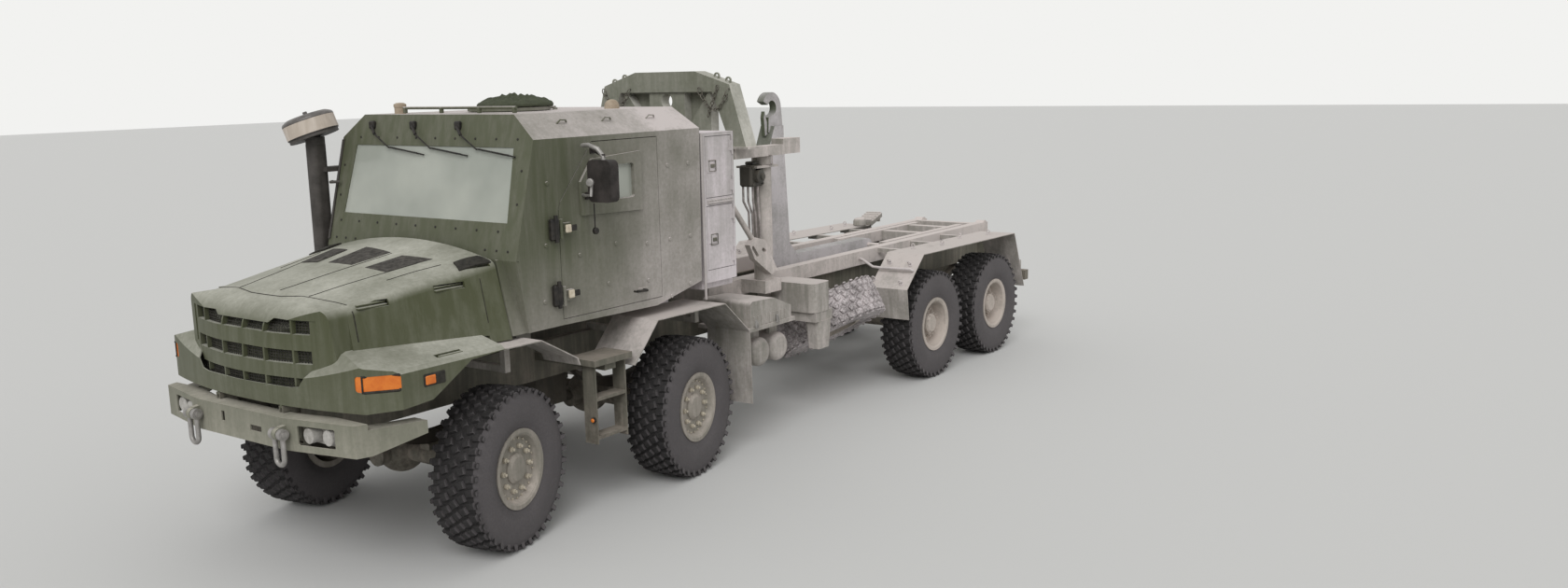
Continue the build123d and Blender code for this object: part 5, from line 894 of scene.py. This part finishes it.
# meshes drawn 11 mm and leaves 45 mm wide, coarse enough to show
net_cord, tree, shader, place = new_material("knotted camouflage net")
knots = add_node(tree, "TexVoronoi", {"Vector": place, "Scale": 90.0}, feature="DISTANCE_TO_EDGE")
leaves = add_node(tree, "TexNoise", {"Vector": place, "Scale": 22.0, "Detail": 5.0, "Roughness": 0.7})
greens = mix_colours(tree, leaves["Fac"], linear("26291f"), linear("545a45"))
tree.links.new(greens, shader.inputs["Base Color"])
bump = add_node(tree, "Bump", {"Height": knots["Distance"], "Strength": 0.9, "Distance": 0.006})
tree.links.new(bump[0], shader.inputs["Normal"])
shader.inputs["Roughness"].default_value = 0.95
finish([heap], "stowed_net", "hatch_lid", net_cord, 50)

# Air intake: a black moulded duct on the cab's corner, a pre-cleaner with a sheet steel sleeve
# in frosted cream paint, and a dark satin domed lid with a knob, screwed down in the middle.
CAP_PLACE = Vector((FIRST - 0.300, -1.200, 2.905))
CAP_LEAN = Vector((0.19, -0.27, 1)).normalized()
SLEEVE_PROFILE = [(0.198, 0.030), (0.2065, 0.032), (0.2065, 0.138), (0.198, 0.140)]
LID_PROFILE = [
    (0.200, 0.138), (0.2075, 0.140), (0.2075, 0.150), (0.200, 0.163), (0.165, 0.182), (0.090, 0.189),
    (0.0005, 0.190),
]
duct_black = plain_material("dusty black duct", "35322f", "4c4845", 8.0, 0.6, specular=0.35)
dress(duct_black, "snorkel")
sleeve = stand_on(spun(SLEEVE_PROFILE, 48), CAP_PLACE, CAP_LEAN)
sleeve_cream = sprayed_paint("frosted cream sleeve", "a79c90", "d9cfc6", 0.5, (2.2, 3.2, 0.3), 0.6)
finish([sleeve], "intake_sleeve", "chassis", sleeve_cream)
lid = stand_on(spun(LID_PROFILE, 48), CAP_PLACE, CAP_LEAN)
knob = stand_on(nut(0.018, 0.026, (0, 0, 0.189), 12), CAP_PLACE, CAP_LEAN)
satin_lid = plain_material("dark satin lid", "4b4845", "6a6664", 12.0, 0.4, metallic=0.2)
finish([lid, knob], "intake_lid", "chassis", satin_lid)

# Screen edge tube: a black tube up the screen's right corner, and the intake duct's two clamps.
# Both are bent round bar, as black and dusty as the duct.
CLAMP = [(-0.36, -1.10), (-0.31, -1.06), (-0.37, -1.02)]
edge = [bar([(FIRST + x, y, z) for x, y in CLAMP], 0.012) for z in (2.12, 2.55)]
rises = [2.10 + step * 0.0975 for step in range(9)]
edge.append(bar([(face_x(-1.075, z)[0] + 0.008, -1.078, z) for z in rises], 0.010))
finish(edge, "screen_edge_tube", "chassis", duct_black)

# Side marker lamps: amber moulded lenses in black rubber frames, screwed to the wings.
# The corner lamps are sealed by a rim of the same rubber round the front of their lens.


def outermost(spot, side):
    """How far out along the wing's corner a point of the corner lamp lies."""
    return 0.72 * spot.x + 0.69 * side * spot.y


for side, word in SIDES:
    marker = side_block(side, (4.372, 1.232, 1.370), (4.548, 1.250, 1.452), 0.006)
    finish([marker], "marker_frame_" + word, "hood_group", rubber_black)
    lens = side_block(side, (4.455, 1.240, 1.380), (4.540, 1.256, 1.442), 0.007)
    finish([lens], "marker_lens_" + word, "hood_group", amber_lens)
    spots = [v.co for v in nodes["wing_lamps"].data.vertices if v.co.y * side > 0]
    edges = []
    for level in (max(v.z for v in spots), min(v.z for v in spots)):
        line = sorted((v for v in spots if abs(v.z - level) < 0.004), key=lambda v: v.x)
        front = []
        for v in line:
            near = [w for w in line if abs(w.x - v.x) + abs(w.y - v.y) < 0.060]
            if outermost(v, side) > max(outermost(w, side) for w in near) - 0.012:
                front.append(v.copy())
        edges.append(front)
    rim = bar(edges[0] + edges[1][::-1], 0.009, closed=True)
    finish([rim], "lamp_rim_" + word, "hood_group", rubber_black)

# Hood insert: a moulded rubber filler in the notch behind the hood's shoulder, held by its edge.
# It swells a little in the middle and is as dull as the seams.
INSERT_CORNERS = ((0.013, 0.750), (-0.175, 0.790), (-0.188, 0.915), (0.066, 0.870))
for side, word in SIDES:
    corners = []
    for x, y in INSERT_CORNERS:
        place, normal = touch("hood", (FIRST + x, side * y, 2.6), DOWN)
        corners.append(place + Vector((0, 0, 0.004)))
    select()
    bpy.ops.mesh.primitive_grid_add(x_subdivisions=14, y_subdivisions=14, size=2)
    insert = bpy.context.object
    for vertex in insert.data.vertices:
        u, v = (vertex.co.x + 1) / 2, (vertex.co.y + 1) / 2
        spot = corners[0].lerp(corners[1], u).lerp(corners[3].lerp(corners[2], u), v)
        crown = 0.022 * sin(pi * u) + 0.030 * sin(pi * v)
        hit, place, normal, face = nodes["hood"].ray_cast(Vector((spot.x, spot.y, 2.6)), Vector(DOWN))
        spot.z = max(spot.z + 0.3 * crown, place.z + 0.005 if hit else -9)
        vertex.co = spot
    shape(insert, "SOLIDIFY", thickness=0.014, offset=0)
    finish([insert], "hood_insert_" + word, "hood_group", rubber_black)

# Locker strips: a hinge strip with rivets between the doors, and a folded strip at the corner.
# Folded and riveted sheet steel, frosted with dust, so it looks brighter than the case.
pale_sheet = sprayed_paint("frosted folded sheet", "8c8784", "cac3c2", 0.7, (1.0, 3.2, 0.7), 0.4)
LEFTWARDS = (0, 1, 0)
strip = [block((1.035, 1.090, 2.252), (1.375, 1.104, 2.292), bevel=0.003)]
for i in range(9):
    rivet = nut(0.008, 0.005, (0, 0, 0), 10)
    strip.append(stand_on(rivet, (1.06 + 0.036 * i, 1.103, 2.283), LEFTWARDS))
strip.append(bar([(1.04, 1.104, 2.262), (1.37, 1.104, 2.262)], 0.007))
strip.append(bar([(1.432, 1.090, 1.450), (1.432, 1.090, 2.850)], 0.012))
finish(strip, "locker_strips", "chassis", pale_sheet)

# Locker latches: pull bars in square pans, pressed steel, riveted in the doors.
# They keep the darker chassis paint, so they stand out from the pale doors.
PAN_HALF = 0.045
for word, z in (("upper", 2.575), ("lower", 1.950)):
    door = "locker_door_" + word
    y = touch(door, (1.300, 2.0, z), (0, -1, 0))[0].y
    corners = ((-1, -1), (1, -1), (1, 1), (-1, 1))
    pan = bar([(1.300 + PAN_HALF * a, y, z + PAN_HALF * b) for a, b in corners], 0.004, closed=True)
    pull = block((1.275, y - 0.004, z - 0.016), (1.325, y + 0.010, z + 0.016), bevel=0.004)
    finish([pan, pull], door + "_latch", "locker_" + word, chassis_paint)

# Armour studs: the ends of the bolts that hold the armour to the cab and its doors.
# Round steel heads, painted over with the cab, so only their shadows show.
SIDE_STUDS = [
    (3.22, 2.58), (3.26, 2.13), (3.30, 1.72), (1.88, 2.62), (1.62, 2.62), (1.88, 2.02), (1.62, 2.02),
    (1.88, 1.55), (1.64, 1.62),
]
DOOR_STUDS = [(2.92, 2.02), (2.52, 2.06), (2.16, 2.02), (2.16, 1.72), (2.62, 1.76)]
for side, word in SIDES:
    for node, places, name, body in (
        ("cab_shell", SIDE_STUDS, "armour_studs_", "chassis"),
        ("door_" + word, DOOR_STUDS, "door_studs_", "door_group_" + word),
    ):
        studs = []
        for x, z in places:
            place, normal = touch(node, (x, side * 2, z), (0, -side, 0))
            studs.append(stand_on(nut(0.017, 0.010, (0, 0, -0.002), 12), place, normal))
        finish(studs, name + word, body, cab_paint)

# Chains on the container frame: welded round steel links, hung from eyes in the arch.
# Rust and rubbing turn them a brownish grey with a dull metal sheen.


def chain(first, last, sag, count, radius=0.0048):
    """Links hung between two points, every other one turned on edge."""
    links = []
    first, last = Vector(first), Vector(last)
    spots = []
    for i in range(count + 1):
        t = i / count
        spots.append(first.lerp(last, t) - Vector((0, 0, sag * 4 * t * (1 - t))))
    for i in range(count):
        a, b = spots[i], spots[i + 1]
        along = (b - a).normalized()
        across = Vector((1, 0, 0)) if i % 2 else along.cross(Vector((1, 0, 0))).normalized()
        middle, half = (a + b) / 2, (b - a).length * 0.62
        loop = []
        for k in range(10):
            turn = 2 * pi * k / 10
            loop.append(middle + along * half * cos(turn) + across * half * 0.62 * sin(turn))
        links.append(bar(loop, radius, sides=2, closed=True))
    return links


chain_steel = plain_material("rusty chain steel", "4b453d", "7d7a70", 40.0, 0.7, metallic=0.35)
EYES = 0.618
hung = chain((EYES, -0.760, 3.215), (EYES, -0.420, 3.215), 0.17, 12)
hung += chain((EYES, 0.420, 3.215), (EYES, 0.760, 3.205), 0.19, 12)
hung += chain((EYES, 0.640, 3.235), (EYES, 0.520, 2.960), 0.00, 8)
finish(hung, "hung_chains", "chassis", chain_steel)

# Valve block on the left post: a machined iron casting with a round motor on its side.
# Four screws hold the motor. The block is as dark and oily as the gearbox.
MOTOR_PROFILE = [
    (0.062, -0.01), (0.062, 0.045), (0.050, 0.055), (0.030, 0.058), (0.028, 0.075), (0.0005, 0.078),
]
front = touch("frame_posts", (1.0, 0.700, 2.400), (-1, 0, 0))[0].x
valve = [
    block((front - 0.01, 0.620, 2.300), (front + 0.190, 0.770, 2.500), bevel=0.018),
    block((front + 0.02, 0.640, 2.498), (front + 0.120, 0.740, 2.530), bevel=0.010),
    stand_on(spun(MOTOR_PROFILE, 24), (front + 0.100, 0.770, 2.395), LEFTWARDS),
]
for x in (0.02, 0.17):
    for z in (2.325, 2.475):
        valve.append(stand_on(nut(0.012, 0.012, (0, 0, 0)), (front + x, 0.770, z), LEFTWARDS))
finish(valve, "valve_block", "chassis", cast_iron)

# Post pipes: four hydraulic pipes from the valve block down to the deck, and a wire handle
# over the post. Steel, bent cold and frosted with dust to a pale grey.
PIPE_RADIUS = 0.011
pipes = []
for i in range(4):
    y = 0.640 + 0.034 * i
    out = front + 0.15 - 0.03 * i
    route = [
        (out, y, 2.302),
        (out, y, 2.16),
        (front + 0.060 - 0.01 * i, y - 0.01, 2.05 - 0.02 * i),
        (front + 0.050 - 0.01 * i, y - 0.01, 1.70),
        (front - 0.03, y - 0.02, 1.58),
    ]
    pipes.append(bar(route, PIPE_RADIUS))
HANDLE = [
    (-0.03, 0.71, 2.485), (-0.03, 0.71, 2.575), (-0.06, 0.83, 2.580),
    (-0.06, 0.83, 2.500), (-0.05, 0.76, 2.482),
]
pipes.append(bar([(front + x, y, z) for x, y, z in HANDLE], 0.009))
pipe_steel = plain_material("frosty steel pipe", "817b78", "b3aba8", 20.0, 0.6, metallic=0.2)
finish(pipes, "post_pipes", "chassis", pipe_steel)

# Deck pipes: four hydraulic pipes along the subframe, in clamps on its cross members.
# Steel with a black finish, cold-bent, dark with an oily sheen.


def deck_top(x, y):
    """The subframe's top at a place, or far below where the deck is open."""
    hit, place, normal, face = nodes["lift_subframe"].ray_cast(Vector((x, y, 1.9)), Vector(DOWN))
    return place.z if hit else -9


laid = []
for i, y in enumerate((0.165, 0.200, 0.235, 0.270)):
    level = max(deck_top(-0.35 - 0.05 * k, y) for k in range(36)) + 0.010
    wave = 0.010 * (-1) ** i
    route = [
        (-0.35, y, level),
        (-0.80, y + wave, level),
        (-1.30, y - wave, level + 0.004),
        (-1.75 - 0.05 * i, y, level),
        (-1.85 - 0.05 * i, y + 0.05, level - 0.01),
    ]
    laid.append(bar(route, PIPE_RADIUS))
    for x in (-0.6, -1.1, -1.6):
        low, high = (x - 0.02, y - 0.016, level - 0.030), (x + 0.02, y + 0.016, level + 0.014)
        laid.append(block(low, high, bevel=0.004))
finish(laid, "deck_pipes", "chassis", blackened)

# Fender rails: a bent tube over the rear fender's front slope, and forged lashing rings in lugs
# welded on the fender's top. Painted with it, and as frosted as the locker's strips.
RAIL_ROUTE = [
    (-1.98, 0.500, 1.320), (-1.90, 0.600, 1.315), (-1.858, 0.740, 1.262), (-1.860, 0.860, 1.257),
    (-1.866, 1.190, 1.264), (-1.885, 1.212, 1.250), (-1.915, 1.214, 1.232),
]
LASHINGS = [
    (-1.975, 0.887), (-1.967, 1.142), (-1.773, 1.142), (-1.794, 0.797), (-2.45, 0.90), (-2.90, 1.02),
    (-3.55, 0.90), (-4.05, 1.02),
]
RING_RADIUS = 0.020
for side, word in SIDES:
    rails = [bar([(x, side * y, z) for x, y, z in RAIL_ROUTE], 0.015)]
    for x, y in LASHINGS:
        place, normal = touch("rear_fenders", (x, side * y, 2.0), DOWN)
        rails.append(stand_on(nut(0.024, 0.012, (0, 0, -0.002), 8), place, normal))
        loop = []
        for k in range(8):
            rise = 0.016 + RING_RADIUS * (1 - cos(pi * k / 4))
            loop.append(place + normal * rise + Vector((0, side * RING_RADIUS * sin(pi * k / 4), 0)))
        rails.append(bar(loop, 0.006, closed=True))
    finish(rails, "fender_rail_" + word, "chassis", pale_sheet)

# Battery box clips: over-centre latches of bent galvanised steel, riveted to the box's side.
# Each has a wire loop over the lid's edge, and shows as a small pale mark.
clips = []
for x in (0.50, 0.82):
    y = touch("side_boxes", (x, 2.0, 1.14), (0, -1, 0))[0].y
    clips.append(block((x - 0.016, y - 0.004, 1.095), (x + 0.016, y + 0.014, 1.175), bevel=0.005))
    near, far = y + 0.012, y + 0.018
    wire = [(x - 0.02, near, 1.15), (x - 0.02, far, 1.10), (x + 0.02, far, 1.10), (x + 0.02, near, 1.15)]
    clips.append(bar(wire, 0.004))
finish(clips, "battery_clips", "chassis", grey_steel)

# Radiator guard behind the grille: a steel sheet in three widths with pressed ribs; its dark colour is
# painted shade behind the grille.
# Three brackets hang it from the hood's mesh. It keeps daylight out of the grille.
SHADE_GUARD_PLACE = 4.800
shade_guard = []
for half, low, high in ((0.800, 1.270, 1.780), (0.850, 1.270, 1.560), (0.930, 1.240, 1.400)):
    shade_guard.append(block((SHADE_GUARD_PLACE, -half, low), (SHADE_GUARD_PLACE + 0.006, half, high), bevel=0.002))
for i in range(10):
    z = 1.300 + 0.045 * i
    low, high = (SHADE_GUARD_PLACE + 0.004, -0.790, z), (SHADE_GUARD_PLACE + 0.012, 0.790, z + 0.015)
    shade_guard.append(block(low, high, bevel=0.002))
for y in (-0.55, 0, 0.55):
    shade_guard.append(block((SHADE_GUARD_PLACE, y - 0.010, 1.480), (4.960, y + 0.010, 1.510), bevel=0.002))
# the blackened steel here is painted shade behind the grille
finish(shade_guard, "radiator_shade_guard", "hood_group", blackened)

# Step markers: a small moulded amber lamp on each step's post, in a turned black cup.
# The lens is smooth, and shines against the dull steel round it.
CUP_PROFILE = [(0.021, -0.004), (0.021, 0.018), (0.016, 0.020), (0.0005, 0.020)]
LENS_PROFILE = [(0.017, 0.018), (0.016, 0.025), (0.010, 0.030), (0.0005, 0.031)]
for side, word in SIDES:
    place, normal = touch("cab_steps", (4.0, side * 1.163, 0.752), (-1, 0, 0))
    for profile, name, slot_name, material in (
        (CUP_PROFILE, "step_marker_cup_", "dark_plastic", blackened),
        (LENS_PROFILE, "step_marker_", "amber_lens", amber_lens),
    ):
        turned = stand_on(spun(profile, 20), place, normal)
        finish([turned], name + word, "chassis", material)

# Folded work lamp on the right rear fender: a tilted sheet steel case with a ribbed lid, a round
# turned cap beside it and two feet. Sprayed and dusty like the fender that it is strapped to.
CAP_PROFILE = [(0.085, 0.0), (0.085, 0.050), (0.072, 0.078), (0.045, 0.094), (0.0005, 0.100)]
case = [block((-0.200, -0.110, 0.0), (0.200, 0.110, 0.075), bevel=0.014)]
for i in range(5):
    case.append(block((-0.17 + 0.085 * i, -0.095, 0.070), (-0.14 + 0.085 * i, 0.095, 0.084), bevel=0.003))
tilt = Matrix.Rotation(radians(12), 4, "Z") @ Matrix.Rotation(radians(10), 4, "Y")
for piece in case:
    piece.data.transform(Matrix.Translation((-4.470, -0.900, 1.400)) @ tilt)
cap = spun(CAP_PROFILE, 24)
cap.data.transform(Matrix.Translation((-4.160, -0.860, 1.388)))
feet = [block((x, -0.96, 1.386), (x + 0.04, -0.84, 1.440), bevel=0.004) for x in (-4.64, -4.34)]
finish(case + [cap] + feet, "folded_work_lamp", "chassis", sheet_paint)

# Studio: a pale matt floor, soft light from all round and one soft key lamp from ahead.
# The lamps stay at a plain level. Only rays of the camera, gloss and glass see a white sky.
select()
bpy.ops.mesh.primitive_plane_add(size=200, location=(0, 0, 0))
floor = bpy.context.object
floor.name = "floor"
floor_paint, tree, shader, place = new_material("pale studio floor")
shader.inputs["Base Color"].default_value = linear("c9c9c8")
shader.inputs["Roughness"].default_value = 1.0
floor.data.materials.append(floor_paint)
world = bpy.data.worlds.new("studio")
bpy.context.scene.world = world
world.use_nodes = True
tree = world.node_tree
back = tree.nodes["Background"]
back.inputs["Color"].default_value = linear("f2f2f0")
path = add_node(tree, "LightPath")
seen = path["Is Camera Ray"]
for ray in ("Is Glossy Ray", "Is Transmission Ray"):
    seen = add_node(tree, "Math", {0: seen, 1: path[ray]}, operation="MAXIMUM")[0]
level = add_node(tree, "MapRange", {"Value": seen, "To Min": 0.75, "To Max": 1.0})
tree.links.new(level[0], back.inputs["Strength"])
bpy.ops.object.light_add(type="SUN", rotation=(radians(50), 0, radians(122)))
key = bpy.context.object
key.data.energy = 1.5
key.data.angle = radians(35)

# Camera: at the photograph's place, a little above the cab's roof, ahead and to the left.
# Its turn, lens and shift are those that fit the wheels and the truck's outline.
CAMERA_PLACE = Vector((9.7368, 7.8341, 3.3166))
CAMERA_HEADING = 3.761743
CAMERA_DIP = 0.175002
CAMERA_ROLL = -0.022194
FOCAL_PIXELS = 1363.49
FRAME_PIXELS = 1680
SENSOR = 36.0
CENTRE_DROP = 6.5
ahead = Vector(
    (cos(CAMERA_HEADING) * cos(CAMERA_DIP), sin(CAMERA_HEADING) * cos(CAMERA_DIP), -sin(CAMERA_DIP))
)
right = Vector((sin(CAMERA_HEADING), -cos(CAMERA_HEADING), 0))
upward = right.cross(ahead)
tilted_right = right * cos(CAMERA_ROLL) + upward * sin(CAMERA_ROLL)
tilted_up = upward * cos(CAMERA_ROLL) - right * sin(CAMERA_ROLL)
bpy.ops.object.camera_add(location=CAMERA_PLACE)
camera = bpy.context.object
camera.matrix_world = Matrix.Translation(CAMERA_PLACE) @ Matrix(
    (tilted_right, tilted_up, -ahead)
).transposed().to_4x4()
camera.data.lens = SENSOR * FOCAL_PIXELS / FRAME_PIXELS
camera.data.sensor_width = SENSOR
camera.data.shift_y = CENTRE_DROP / FRAME_PIXELS
camera.data.clip_end = 300
bpy.context.scene.camera = camera
bpy.context.scene.view_settings.view_transform = "Standard"
